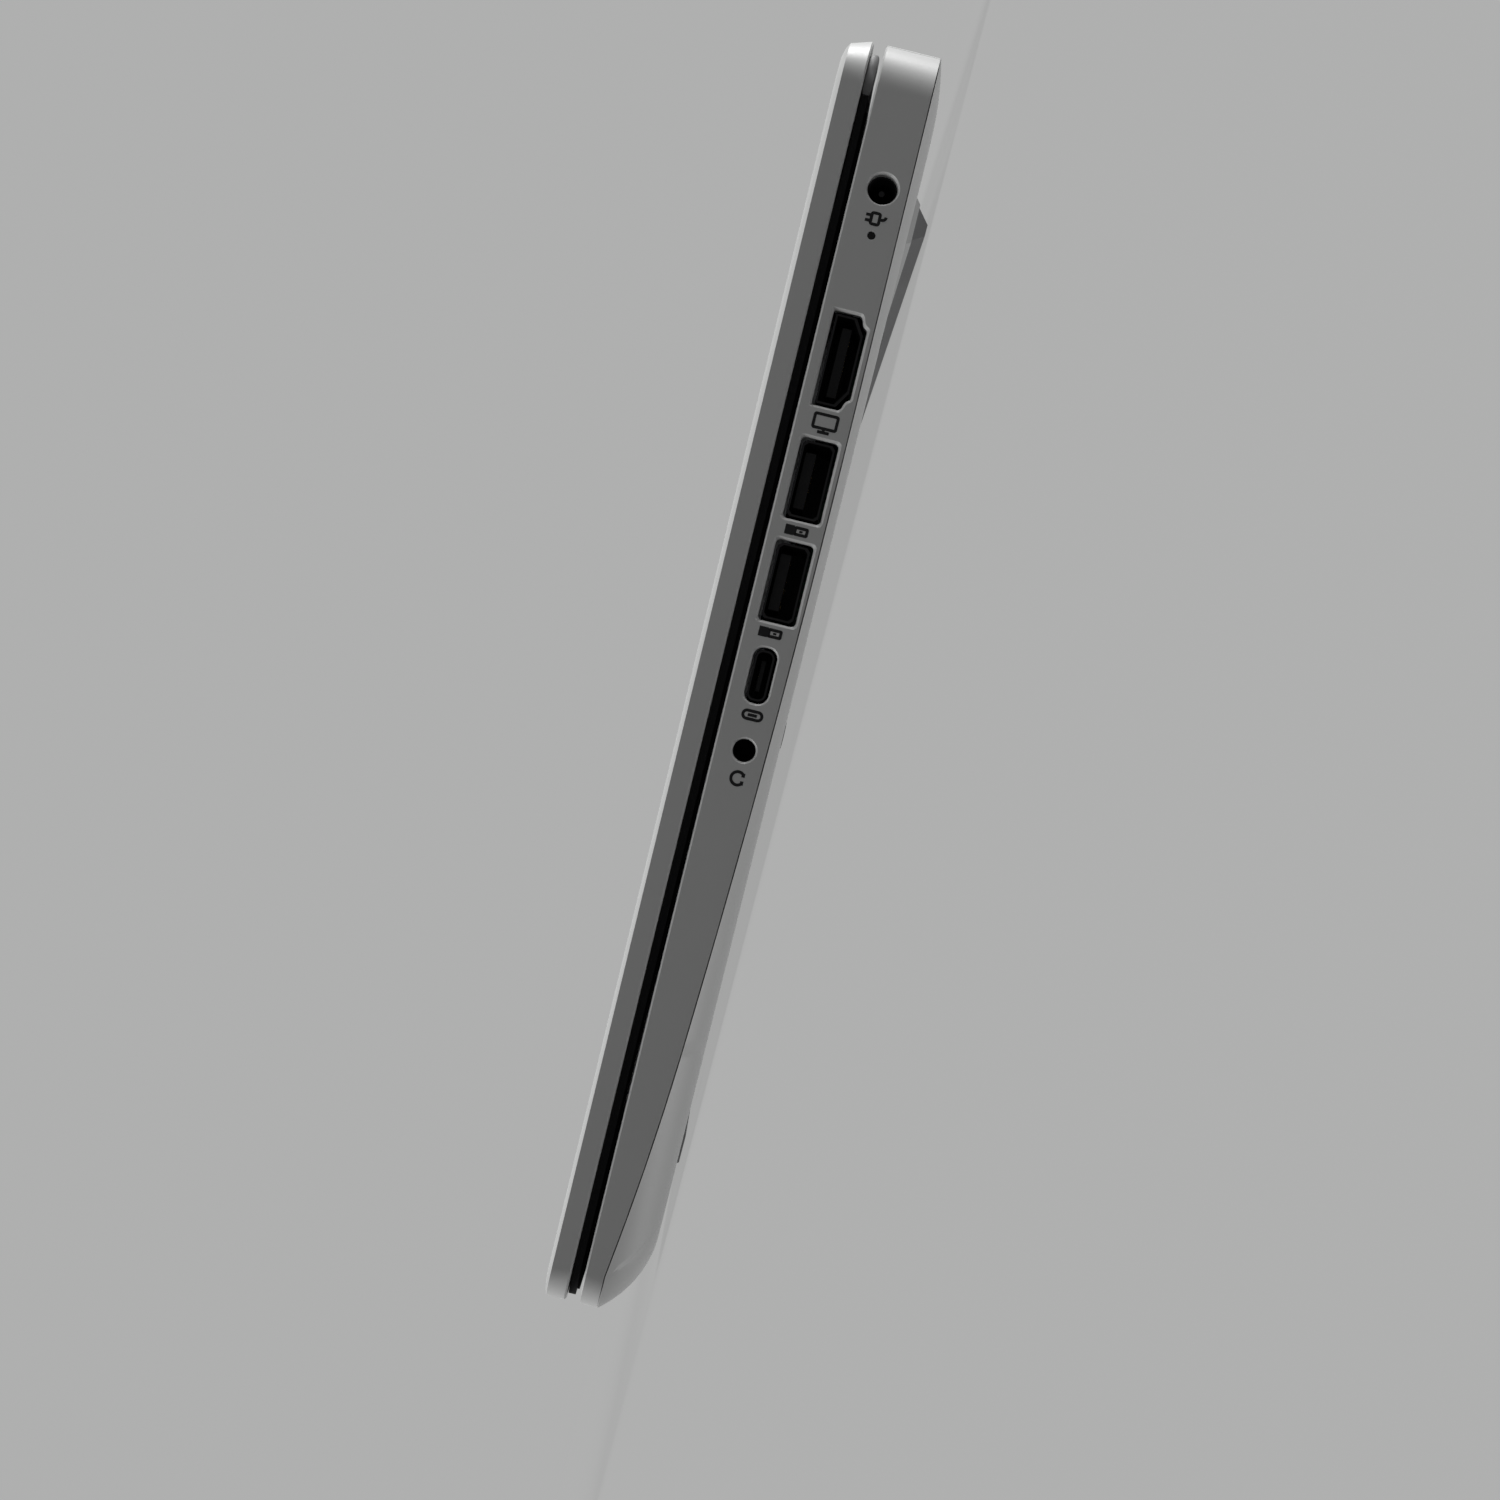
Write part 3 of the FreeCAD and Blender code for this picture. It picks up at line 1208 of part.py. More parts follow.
def make_cooling_plate():
    """Copper plate on the processor."""
    half = COOLER_SIZE / 2
    return block(CHIP_X - half, CHIP_X + half, CHIP_BACK - half, CHIP_BACK + half, -CHIP_TOP, -COOLER_TOP)


def fin_middle():
    """Middle of the heat sink, as a distance back."""
    return FIN_STACK_BACK + FIN_STACK_WIDTH / 2


def make_heat_pipe():
    """Flattened pipe from the cooling plate, round a bend, and along the heat sink."""
    half = PIPE_WIDTH / 2
    y_chip, y_fins = rear(CHIP_BACK), rear(fin_middle())
    x_turn = FAN_X + FAN_LENGTH / 2 + PIPE_WIDTH + PIPE_BEND
    radius = min(PIPE_BEND, (y_fins - y_chip) / 2)
    x_end = FAN_X - FIN_STACK_LENGTH / 2
    turn = radius * math.sin(math.radians(45))
    first = Part.Arc(Vector(x_turn, y_chip, 0), Vector(x_turn - turn, y_chip + radius - turn, 0),
                     Vector(x_turn - radius, y_chip + radius, 0))
    second = Part.Arc(Vector(x_turn - radius, y_fins - radius, 0),
                      Vector(x_turn - 2 * radius + turn, y_fins - radius + turn, 0),
                      Vector(x_turn - 2 * radius, y_fins, 0))
    start, end = Vector(CHIP_X + COOLER_SIZE / 2, y_chip, 0), Vector(x_end, y_fins, 0)
    edges = [Part.makeLine(start, first.StartPoint), first.toShape()]
    if y_fins - y_chip > 2 * radius:
        edges.append(Part.makeLine(first.EndPoint, second.StartPoint))
    edges += [second.toShape(), Part.makeLine(second.EndPoint, end)]
    outline = Part.Wire(edges).makeOffset2D(half, join=0, fill=False, openResult=False, intersection=False)
    outline.translate(Vector(0, 0, -COOLER_TOP))
    return Part.Face(outline).extrude(Vector(0, 0, PIPE_THICKNESS))


def make_heat_sink():
    """Comb of thin fins in the exhaust, under the heat pipe."""
    x0 = FAN_X - FIN_STACK_LENGTH / 2
    back0, back1 = FIN_STACK_BACK, FIN_STACK_BACK + FIN_STACK_WIDTH
    low = -BOARD_UNDER
    plate = block(x0, x0 + FIN_STACK_LENGTH, back0, back1, -COOLER_TOP - FIN_THICKNESS, -COOLER_TOP)
    count = int(FIN_STACK_LENGTH / FIN_PITCH)
    fins = [block(x0 + i * FIN_PITCH, x0 + i * FIN_PITCH + FIN_THICKNESS, back0, back1, low,
                  -COOLER_TOP - FIN_THICKNESS) for i in range(count + 1)
            if i * FIN_PITCH + FIN_THICKNESS <= FIN_STACK_LENGTH]
    return plate.fuse(fins).removeSplitter()


def fan_box():
    """X range and backs of the fan housing."""
    half = FAN_LENGTH / 2
    return FAN_X - half, FAN_X + half, FAN_BACK - half, FAN_BACK + half


def make_fan_housing():
    """Flat box round the rotor: a round inlet above, a bush for the shaft, open towards the heat sink."""
    x0, x1, back0, back1 = fan_box()
    top, low = -FAN_TOP, -FAN_TOP - FAN_THICKNESS
    housing = block(x0, x1, back0, back1, low, top)
    room = post(FAN_X, FAN_BACK, low + FAN_SKIN, top - FAN_SKIN, ROTOR_RADIUS + ROTOR_GAP + FAN_WALL)
    duct = block(x0 + FAN_WALL, x1 - FAN_WALL, back0 - WALL, FAN_BACK, low + FAN_SKIN, top - FAN_SKIN)
    inlet = post(FAN_X, FAN_BACK, top - 2 * FAN_SKIN, top + WALL, INLET_RADIUS)
    bush = post(FAN_X, FAN_BACK, low, low + 3 * FAN_SKIN, 3 * SHAFT_RADIUS)
    bore = post(FAN_X, FAN_BACK, low + FAN_SKIN / 2, low + 4 * FAN_SKIN, SHAFT_RADIUS + SHAFT_CLEARANCE)
    return housing.cut([room, duct, inlet]).fuse(bush).cut(bore)


def make_fan_rotor():
    """Hub with its shaft and leaning blades."""
    top, low = -FAN_TOP - FAN_SKIN - ROTOR_GAP, -FAN_TOP - FAN_THICKNESS
    hub_low = low + 3 * FAN_SKIN + ROTOR_GAP / 2
    centre = Vector(FAN_X, rear(FAN_BACK), 0)
    hub = post(FAN_X, FAN_BACK, hub_low, top, ROTOR_HUB)
    shaft = post(FAN_X, FAN_BACK, low + FAN_SKIN, hub_low, SHAFT_RADIUS)
    blades = []
    reach = ROTOR_RADIUS - ROTOR_HUB
    for i in range(ROTOR_BLADES):
        blade = Part.makeBox(reach, BLADE_THICKNESS, top - hub_low,
                             Vector(ROTOR_HUB - BLADE_THICKNESS, -BLADE_THICKNESS / 2, hub_low))
        blade.rotate(Vector(ROTOR_HUB, 0, 0), Vector(0, 0, 1), BLADE_LEAN)
        blade.rotate(Vector(), Vector(0, 0, 1), 360.0 * i / ROTOR_BLADES)
        blade.translate(centre)
        blades.append(blade)
    return hub.fuse([shaft] + blades)


def make_battery_pack():
    """Flat pack of cells in front of the board, with grooves between the cells."""
    half = BATTERY_HALF
    pack = block(-half, half, BATTERY_BACK, BATTERY_FRONT, -BATTERY_BOTTOM, -BATTERY_TOP)
    grooves = []
    for i in range(1, BATTERY_CELLS):
        x = 2 * half * i / BATTERY_CELLS - half
        grooves.append(block(x - BATTERY_GROOVE / 2, x + BATTERY_GROOVE / 2, BATTERY_BACK - WALL,
                             BATTERY_FRONT + WALL, -BATTERY_TOP - BATTERY_GROOVE, -BATTERY_TOP + WALL))
    return pack.cut(grooves)


def make_speaker():
    """Right-hand speaker box, beside the battery."""
    x1 = HALF_X - SPEAKER_INSET
    x0 = x1 - SPEAKER_LENGTH
    wire = cap_outline(x0, x1, SPEAKER_BACK, SPEAKER_FRONT, -BATTERY_BOTTOM)
    return Part.Face(wire).extrude(Vector(0, 0, BATTERY_BOTTOM - BATTERY_TOP))


# All pieces, by name

def all_pieces():
    """Each node with its solids, still drawn level."""
    bracket, arm = make_hinge_bracket(), make_hinge_arm()
    speaker, antenna = make_speaker(), make_antenna()
    pieces = {
        "top_case": make_top_case(),
        "bottom_cover": make_bottom_cover(),
        "rear_trim": make_rear_trim(),
        "rear_foot": make_rear_foot(),
        "front_foot": make_front_foot(),
        "speaker_grille": make_speaker_grille(),
        "hinge_cover": make_hinge_cover(),
        "hinge_bracket_right": bracket,
        "hinge_bracket_left": mirrored(bracket),
        "keyboard_frame": make_keyboard_frame(),
        "keyboard_plate": make_keyboard_plate(),
        "touchpad": make_touchpad(),
        "touchpad_bracket": make_touchpad_bracket(),
        "touchpad_switch": make_touchpad_switch(),
        "power_jack": jack_body(POWER_BACK, POWER_DROP, POWER_BORE),
        "power_jack_pin": make_power_pin(),
        "charge_light": make_charge_light(),
        "video_port": shell_of(video_outline, PORT_DEPTH),
        "type_a_port_rear": shell_of(type_a_outline(TYPE_A_REAR_BACK), PORT_DEPTH),
        "type_a_port_front": shell_of(type_a_outline(TYPE_A_FRONT_BACK), PORT_DEPTH),
        "type_c_port": shell_of(type_c_outline, TYPE_C_DEPTH),
        "port_cores": make_port_cores(),
        "headset_jack": jack_body(HEADSET_BACK, HEADSET_DROP, HEADSET_BORE),
        "motherboard": make_motherboard(),
        "board_chips": make_board_chips(),
        "memory_modules": make_memory_modules(),
        "storage_module": make_storage_module(),
        "radio_card": make_radio_card(),
        "cooling_plate": make_cooling_plate(),
        "heat_pipe": make_heat_pipe(),
        "heat_sink": make_heat_sink(),
        "fan_housing": make_fan_housing(),
        "fan_rotor": make_fan_rotor(),
        "battery_pack": make_battery_pack(),
        "speaker_right": speaker,
        "speaker_left": mirrored(speaker),
        "lid_cover": make_lid_cover(),
        "screen_bezel": make_screen_bezel(),
        "lid_bumper": make_lid_bumper(),
        "display_panel": make_display_panel(),
        "camera_module": make_camera_module(),
        "antenna_right": antenna,
        "antenna_left": mirrored(antenna),
        "hinge_arm_right": arm,
        "hinge_arm_left": mirrored(arm),
    }
    pieces.update(make_keys())
    return pieces


def export(pieces):
    """Stand every piece on the table, grind the feet flat there and write one file for each node."""
    os.makedirs("parts", exist_ok=True)
    table = Part.makeBox(2 * WIDTH, 2 * DEPTH, DEPTH, Vector(-WIDTH, -DEPTH, -DEPTH))
    for node, shape in pieces.items():
        solids = [seated(solid) for solid in (shape if isinstance(shape, list) else [shape])]
        if node in ("rear_foot", "front_foot"):
            solids = [solid.cut(table) for solid in solids]
        result = solids[0] if len(solids) == 1 else Part.makeCompound(solids)
        result.exportStep(os.path.join("parts", node + ".step"))


if __name__ == "__main__":
    export(all_pieces())
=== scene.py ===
import math

import bmesh
import bpy
import numpy as np
from mathutils import Matrix


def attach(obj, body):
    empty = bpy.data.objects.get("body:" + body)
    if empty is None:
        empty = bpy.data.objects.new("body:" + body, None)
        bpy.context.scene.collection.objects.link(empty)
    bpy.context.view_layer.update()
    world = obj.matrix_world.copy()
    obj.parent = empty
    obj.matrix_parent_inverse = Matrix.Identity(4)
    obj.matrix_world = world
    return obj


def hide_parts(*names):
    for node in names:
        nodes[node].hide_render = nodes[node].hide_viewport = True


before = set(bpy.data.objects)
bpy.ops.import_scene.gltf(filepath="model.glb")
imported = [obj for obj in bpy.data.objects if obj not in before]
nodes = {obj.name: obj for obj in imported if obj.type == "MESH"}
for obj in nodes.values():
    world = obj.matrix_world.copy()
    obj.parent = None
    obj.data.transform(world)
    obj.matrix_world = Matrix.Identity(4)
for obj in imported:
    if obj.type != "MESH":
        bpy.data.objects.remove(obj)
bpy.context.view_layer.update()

# Bottom cover: the white tray that closes the base from below, moulded in ABS and sprayed, with a
# bar that carries the rear foot and rows of air slots. It hangs on the screws of the next section.

WHITE = (0.80, 0.805, 0.80)
NOISE_LOW, NOISE_HIGH, BUMP_HEIGHT, COARSER = 0.3, 0.7, 0.00002, 80


def paint(name, colour, roughness, metallic=0.0, grain=0.00035, relief=0.12, mottle=0.02, spread=0.06,
          stretch=(1.0, 1.0, 1.0), shine=0.5):
    """Surface on Object coordinates. A noise with cells of `grain` metres, drawn out by `stretch`,
    raises a bump of BUMP_HEIGHT metres times relief and moves the roughness by +-spread, and a noise that
    is COARSER times as coarse moves the colour by +-mottle."""
    material = bpy.data.materials.new(name)
    material.use_nodes = True
    tree = material.node_tree
    shader = tree.nodes["Principled BSDF"]
    shader.inputs["Metallic"].default_value = metallic
    shader.inputs["Specular IOR Level"].default_value = shine
    place = tree.nodes.new("ShaderNodeTexCoord")
    drawn = tree.nodes.new("ShaderNodeMapping")
    drawn.inputs["Scale"].default_value = stretch
    tree.links.new(place.outputs["Object"], drawn.inputs["Vector"])
    fine = tree.nodes.new("ShaderNodeTexNoise")
    fine.inputs["Scale"].default_value = 1.0 / grain
    fine.inputs["Detail"].default_value = 2.0
    tree.links.new(drawn.outputs["Vector"], fine.inputs["Vector"])
    coarse = tree.nodes.new("ShaderNodeTexNoise")
    coarse.inputs["Scale"].default_value = 1.0 / (COARSER * grain)
    coarse.inputs["Detail"].default_value = 4.0
    tree.links.new(drawn.outputs["Vector"], coarse.inputs["Vector"])
    bump = tree.nodes.new("ShaderNodeBump")
    bump.inputs["Strength"].default_value = relief
    bump.inputs["Distance"].default_value = BUMP_HEIGHT
    tree.links.new(fine.outputs["Fac"], bump.inputs["Height"])
    tree.links.new(bump.outputs["Normal"], shader.inputs["Normal"])
    tone = tree.nodes.new("ShaderNodeValToRGB")
    tone.color_ramp.elements[0].position = NOISE_LOW
    tone.color_ramp.elements[1].position = NOISE_HIGH
    tone.color_ramp.elements[0].color = [c * (1 - mottle) for c in colour] + [1]
    tone.color_ramp.elements[1].color = [min(c * (1 + mottle), 1) for c in colour] + [1]
    tree.links.new(coarse.outputs["Fac"], tone.inputs["Fac"])
    tree.links.new(tone.outputs["Color"], shader.inputs["Base Color"])
    gloss = tree.nodes.new("ShaderNodeMapRange")
    gloss.inputs["From Min"].default_value = NOISE_LOW
    gloss.inputs["From Max"].default_value = NOISE_HIGH
    gloss.inputs["To Min"].default_value = max(roughness - spread, 0.02)
    gloss.inputs["To Max"].default_value = roughness + spread
    tree.links.new(fine.outputs["Fac"], gloss.inputs["Value"])
    tree.links.new(gloss.outputs["Result"], shader.inputs["Roughness"])
    return material


def dress(node, material):
    """The CAD node keeps its shape and shows the material in every slot."""
    mesh = nodes[node].data
    mesh.materials.clear()
    mesh.materials.append(material)


def moulding(name, node, material, body, crease=25, cutter=None):
    """The node's shape as one closed skin: its loose triangles are merged, a cutter's shape is taken out,
    edges turning by more than `crease` degrees stay crisp, and normals weighted by area keep the flats
    flat."""
    mesh = nodes[node].data.copy()
    mesh.name = name
    joined = bmesh.new()
    joined.from_mesh(mesh)
    bmesh.ops.remove_doubles(joined, verts=joined.verts, dist=2e-6)
    joined.to_mesh(mesh)
    joined.free()
    if "custom_normal" in mesh.attributes:
        mesh.attributes.remove(mesh.attributes["custom_normal"])
    if cutter:
        blank = bpy.data.objects.new("blank", mesh)
        bpy.context.scene.collection.objects.link(blank)
        cut = blank.modifiers.new("mouths", "BOOLEAN")
        cut.operation = "DIFFERENCE"
        cut.solver = "EXACT"
        cut.object = cutter
        mesh = bpy.data.meshes.new_from_object(blank.evaluated_get(bpy.context.evaluated_depsgraph_get()))
        mesh.name = name
        bpy.data.objects.remove(blank)
        bpy.data.objects.remove(cutter)
    mesh.polygons.foreach_set("use_smooth", np.ones(len(mesh.polygons), bool))
    mesh.set_sharp_from_angle(angle=math.radians(crease))
    mesh.materials.clear()
    mesh.materials.append(material)
    piece = bpy.data.objects.new(name, mesh)
    bpy.context.scene.collection.objects.link(piece)
    weigh = piece.modifiers.new("flat_faces", "WEIGHTED_NORMAL")
    weigh.keep_sharp = True
    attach(piece, body)
    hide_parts(node)
    return piece


white_spray = paint("white_spray", WHITE, 0.42, grain=0.0003, relief=0.10, mottle=0.012)
moulding("bottom_cover_skin", "bottom_cover", white_spray, "base")

SIDE, DEPTH = 162.5, 222.9
REAR_FOOT_BACK, REAR_FOOT_STAND = 25.0, 14.6
FRONT_FOOT_BACK, FRONT_FOOT_STAND = 204.0, 11.8
WEDGE = math.atan2(REAR_FOOT_STAND - FRONT_FOOT_STAND, FRONT_FOOT_BACK - REAR_FOOT_BACK)
LIFT = REAR_FOOT_STAND * math.cos(WEDGE) - (DEPTH / 2 - REAR_FOOT_BACK) * math.sin(WEDGE)


def standing(x, back, z):
    """Level places in millimetres (x, distance in front of the rear end, height over the deck) as
    points in metres on the table: turned by the wedge of the two feet about X, then lifted."""
    x, back, z = np.broadcast_arrays(np.asarray(x, float), back, z)
    y = DEPTH / 2 - back
    turned = [x, y * math.cos(WEDGE) - z * math.sin(WEDGE), y * math.sin(WEDGE) + z * math.cos(WEDGE) + LIFT]
    return np.stack(turned, -1) / 1000


def ring_quads(rings, around, closed=True):
    """Quads of a grid of rings: place c of ring r joins its neighbours on that ring and the next."""
    r, c = np.meshgrid(np.arange(rings - 1), np.arange(around if closed else around - 1), indexing="ij")
    n = (c + 1) % around
    here, beyond = r * around, (r + 1) * around
    return np.stack([here + c, here + n, beyond + n, beyond + c], -1).reshape(-1, 4)


def make_piece(name, points, faces, material, body, crease=35):
    """A new mesh from whole arrays: points in metres and faces as lists of point numbers."""
    mesh = bpy.data.meshes.new(name)
    mesh.from_pydata(np.asarray(points).reshape(-1, 3).tolist(), [], [list(face) for face in faces])
    mesh.polygons.foreach_set("use_smooth", np.ones(len(mesh.polygons), bool))
    mesh.set_sharp_from_angle(angle=math.radians(crease))
    mesh.materials.append(material)
    piece = bpy.data.objects.new(name, mesh)
    bpy.context.scene.collection.objects.link(piece)
    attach(piece, body)
    return piece


UNDER_REAR, UNDER_RISE = -11.4, 0.8
CORNER_REAR, CORNER_FRONT = 11.5, 7.5
UNDER_INSET, UNDER_CORNER = 9.0, 10.0
SEAM_START, SEAM_BEND, SEAM_END = 74.0, 176.0, DEPTH - CORNER_FRONT
SEAM_LEVEL, FIRST_RISE, LAST_RISE = -9.45, 2.55, 1.63
SEAM_GAP, BELLY, CLEAR_OF_SOLID = 0.15, 0.2, 0.02


def under_height(back):
    """Height of the underside: a straight rise from the rear end to the front end."""
    return UNDER_REAR + UNDER_RISE * back / DEPTH


def seam_height(back):
    """Parting line: level to its start, a parabola up to the bend, and from there the slope that this one
    ends with plus a second parabola."""
    first_run, last_run = SEAM_BEND - SEAM_START, SEAM_END - SEAM_BEND
    first = np.clip((back - SEAM_START) / first_run, 0, 1)
    last = np.clip((back - SEAM_BEND) / last_run, 0, 1)
    slope = 2 * FIRST_RISE / first_run
    return SEAM_LEVEL + FIRST_RISE * first ** 2 + slope * last_run * last + LAST_RISE * last ** 2


def outline(inset, r_rear, r_front, end_points=12, turn_points=25, run_points=40):
    """Right half of the cover's outline from the middle of the rear to the middle of the front: a straight
    run, a quarter circle, the side with stops where the seam bends, a quarter circle and a straight run."""
    turn = np.linspace(0, np.pi / 2, turn_points)
    x_rear, x_front = SIDE - inset - r_rear, SIDE - inset - r_front
    back = [np.full(end_points, inset), inset + r_rear * (1 - np.cos(turn))]
    x = [np.linspace(0, x_rear, end_points), x_rear + r_rear * np.sin(turn)]
    stops = (inset + r_rear, SEAM_START, SEAM_BEND, DEPTH - inset - r_front)
    for start, end in zip(stops[:-1], stops[1:]):
        back.append(np.linspace(start, end, run_points))
        x.append(np.full(run_points, SIDE - inset))
    back += [DEPTH - inset - r_front * (1 - np.sin(turn)), np.full(end_points, DEPTH - inset)]
    x += [x_front + r_front * np.cos(turn), np.linspace(x_front, 0, end_points)]
    return np.concatenate(x), np.concatenate(back)


def flank(steps=15):
    """Surface of (share v, place): straight from the parting line to the underside, plus a belly of BELLY
    times the drop times 4 v (1 - v), and a hair to clear the solid, square to that line in its upright
    plane."""
    x_top, back_top = outline(0, CORNER_REAR, CORNER_FRONT)
    x_low, back_low = outline(UNDER_INSET, UNDER_CORNER, UNDER_CORNER)
    z_top, z_low = seam_height(back_top) - SEAM_GAP, under_height(back_low)
    across = np.hypot(x_top - x_low, back_top - back_low)
    drop = z_top - z_low
    slant = np.hypot(across, drop)
    v = np.linspace(0, 1, steps)[:, None]
    belly = BELLY * drop * 4 * v * (1 - v) + CLEAR_OF_SOLID
    out = belly * drop / slant / across
    x = x_top + v * (x_low - x_top) + out * (x_top - x_low)
    back = back_top + v * (back_low - back_top) + out * (back_top - back_low)
    z = z_top + v * (z_low - z_top) - belly * across / slant
    x = np.concatenate([x, -x[:, ::-1]], 1)
    back, z = (np.concatenate([part, part[:, ::-1]], 1) for part in (back, z))
    return standing(x, back, z).reshape(-1, 3), ring_quads(*x.shape)[:, ::-1]


points, faces = flank()
make_piece("cover_flank", points, faces, white_spray, "base", crease=50)

# Cover screws: eight low steel screws with a six-lobed socket, blackened, that fasten the bottom
# cover to the top case. They are cold headed and their threads are rolled.


def gather(parts):
    """Several (points, faces) pairs as one, the face numbers moved up by the points before them."""
    start, points, faces = 0, [], []
    for some, their_faces in parts:
        points.append(np.asarray(some).reshape(-1, 3))
        faces += [[int(i) + start for i in face] for face in their_faces]
        start += len(points[-1])
    return np.concatenate(points), faces


def screw_head(x, back):
    """Surface of (ring, angle): a flat dome 0.4 mm tall, sunk by 0.5 mm inside the radius
    R(a) = 1.0 + 0.16 cos 6a of the lobed socket."""
    angle = np.linspace(0, 2 * np.pi, 48, endpoint=False)
    radius = np.array([2.6, 2.6, 2.45, 2.1, 1.6])[:, None] + 0 * angle
    drop = np.array([-0.1, 0.22, 0.34, 0.38, 0.4])[:, None] + 0 * angle
    lobe = 1.0 + 0.16 * np.cos(6 * angle)
    radius = np.vstack([radius, lobe + 0.08, lobe, 0.4 * lobe])
    drop = np.vstack([drop, 0.4 + 0 * angle, -0.1 + 0 * angle, -0.1 + 0 * angle])
    points = standing(x + radius * np.cos(angle), back + radius * np.sin(angle), under_height(back) - drop)
    rings, around = radius.shape
    return points, ring_quads(rings, around).tolist() + [list(range((rings - 1) * around, rings * around))]


black_screw = paint("black_screw", (0.035, 0.035, 0.037), 0.38, metallic=0.8, grain=0.0001, relief=0.2)
screw_places = [(-138, 46), (138, 46), (-25, 46), (25, 46), (-138, 120), (138, 120), (-120, 190), (120, 190)]
points, faces = gather([screw_head(x, back) for x, back in screw_places])
make_piece("cover_screws", points, faces, black_screw, "base")

# Feet: two long strips of grey rubber glued into the bottom cover. The rear one is a tall ridge
# with sloping flanks, the front one a low bar. Rubber from the press is dull, with a fine grain.

foot_rubber = paint("foot_rubber", (0.28, 0.28, 0.285), 0.75, grain=0.0004, relief=0.5, mottle=0.10)
for node in ("rear_foot", "front_foot"):
    dress(node, foot_rubber)

# Rear trim: the strip across the rear of the base with the exhaust slots, moulded like the cover,
# sprayed with it and snapped on behind a fine parting line.

moulding("rear_trim_skin", "rear_trim", white_spray, "base")

# Motherboard and what plugs into it: dark green laminate with copper tracks under the lacquer,
# black chips and sockets, and the memory, storage and radio cards. The board is screwed to standoffs.


def laminate(name, lacquer, track):
    """Board surface on Object coordinates: two crossed wave textures, cut hard, give tracks 0.5 mm wide
    at 1.6 mm, and cells about 11 mm wide choose which of the two runs shows."""
    material = paint(name, lacquer, 0.38, grain=0.0006, relief=0.25, mottle=0.10)
    tree = material.node_tree
    shader = tree.nodes["Principled BSDF"]
    base = shader.inputs["Base Color"].links[0].from_socket
    place = tree.nodes["Texture Coordinate"]
    lines = []
    for axis in ("X", "Y"):
        wave = tree.nodes.new("ShaderNodeTexWave")
        wave.bands_direction = axis
        wave.inputs["Scale"].default_value = 200.0
        wave.inputs["Distortion"].default_value = 1.5
        wave.inputs["Detail Scale"].default_value = 0.3
        tree.links.new(place.outputs["Object"], wave.inputs["Vector"])
        cut = tree.nodes.new("ShaderNodeMath")
        cut.operation = "GREATER_THAN"
        cut.inputs[1].default_value = 0.8
        tree.links.new(wave.outputs["Fac"], cut.inputs[0])
        lines.append(cut)
    area = tree.nodes.new("ShaderNodeTexVoronoi")
    area.inputs["Scale"].default_value = 90.0
    tree.links.new(place.outputs["Object"], area.inputs["Vector"])
    pick = tree.nodes.new("ShaderNodeMath")
    pick.operation = "GREATER_THAN"
    pick.inputs[1].default_value = 0.5
    tree.links.new(area.outputs["Color"], pick.inputs[0])
    either = tree.nodes.new("ShaderNodeMix")
    tree.links.new(pick.outputs["Value"], either.inputs["Factor"])
    tree.links.new(lines[0].outputs["Value"], either.inputs[2])
    tree.links.new(lines[1].outputs["Value"], either.inputs[3])
    mixed = tree.nodes.new("ShaderNodeMix")
    mixed.data_type = "RGBA"
    tree.links.new(either.outputs[0], mixed.inputs["Factor"])
    tree.links.new(base, mixed.inputs[6])
    mixed.inputs[7].default_value = (*track, 1)
    tree.links.new(mixed.outputs[2], shader.inputs["Base Color"])
    return material


board_laminate = laminate("board_laminate", (0.012, 0.055, 0.035), (0.03, 0.12, 0.07))
chip_resin = paint("chip_resin", (0.018, 0.018, 0.02), 0.5, grain=0.00015, relief=0.35, mottle=0.15)
for node in ("motherboard", "memory_modules", "antenna_right", "antenna_left"):
    dress(node, board_laminate)
for node in ("board_chips", "storage_module", "radio_card"):
    dress(node, chip_resin)

# Cooling: copper plate and flattened heat pipe soldered to a stack of aluminium fins, a black fan
# housing and its rotor, which blows out through the slots of the rear trim.

bare_copper = paint("bare_copper", (0.72, 0.36, 0.21), 0.32, metallic=1.0, grain=0.0003, relief=0.2,
                    mottle=0.16, spread=0.12, stretch=(0.1, 1.0, 1.0))
fin_metal = paint("fin_metal", (0.62, 0.63, 0.64), 0.36, metallic=1.0, grain=0.00025, relief=0.25,
                  mottle=0.06, stretch=(1.0, 1.0, 0.1))
dark_plastic = paint("dark_plastic", (0.02, 0.02, 0.021), 0.55, grain=0.0003, relief=0.35, mottle=0.12)
for node in ("cooling_plate", "heat_pipe"):
    dress(node, bare_copper)
dress("heat_sink", fin_metal)
for node in ("fan_housing", "fan_rotor", "speaker_right", "speaker_left"):
    dress(node, dark_plastic)

# Battery: flat pouch cells side by side, wrapped together in a black film that is shrunk on and
# left a little wrinkled. The pack lies in front of the board, held down by the bottom cover.

battery_film = paint("battery_film", (0.03, 0.03, 0.034), 0.3, grain=0.0008, relief=0.6, mottle=0.2)
dress("battery_pack", battery_film)

# Keyboard: a pressed steel pan, a thin white web that frames the caps, and the caps themselves,
# moulded white with a shallow dish and dark printed legends. Each row rides on its own slide.

plated_steel = paint("plated_steel", (0.52, 0.53, 0.54), 0.36, metallic=1.0, grain=0.0003, relief=0.2,
                     mottle=0.06, stretch=(0.15, 1.0, 1.0))
white_web = paint("white_web", (0.70, 0.705, 0.70), 0.55, grain=0.0004, relief=0.25, mottle=0.02)
white_cap = paint("white_cap", (0.78, 0.785, 0.78), 0.5, grain=0.00025, relief=0.30, mottle=0.015)
legend_ink = paint("legend_ink", (0.05, 0.052, 0.055), 0.6, grain=0.0002, relief=0.1, mottle=0.1)
dress("keyboard_plate", plated_steel)
dress("keyboard_frame", white_web)

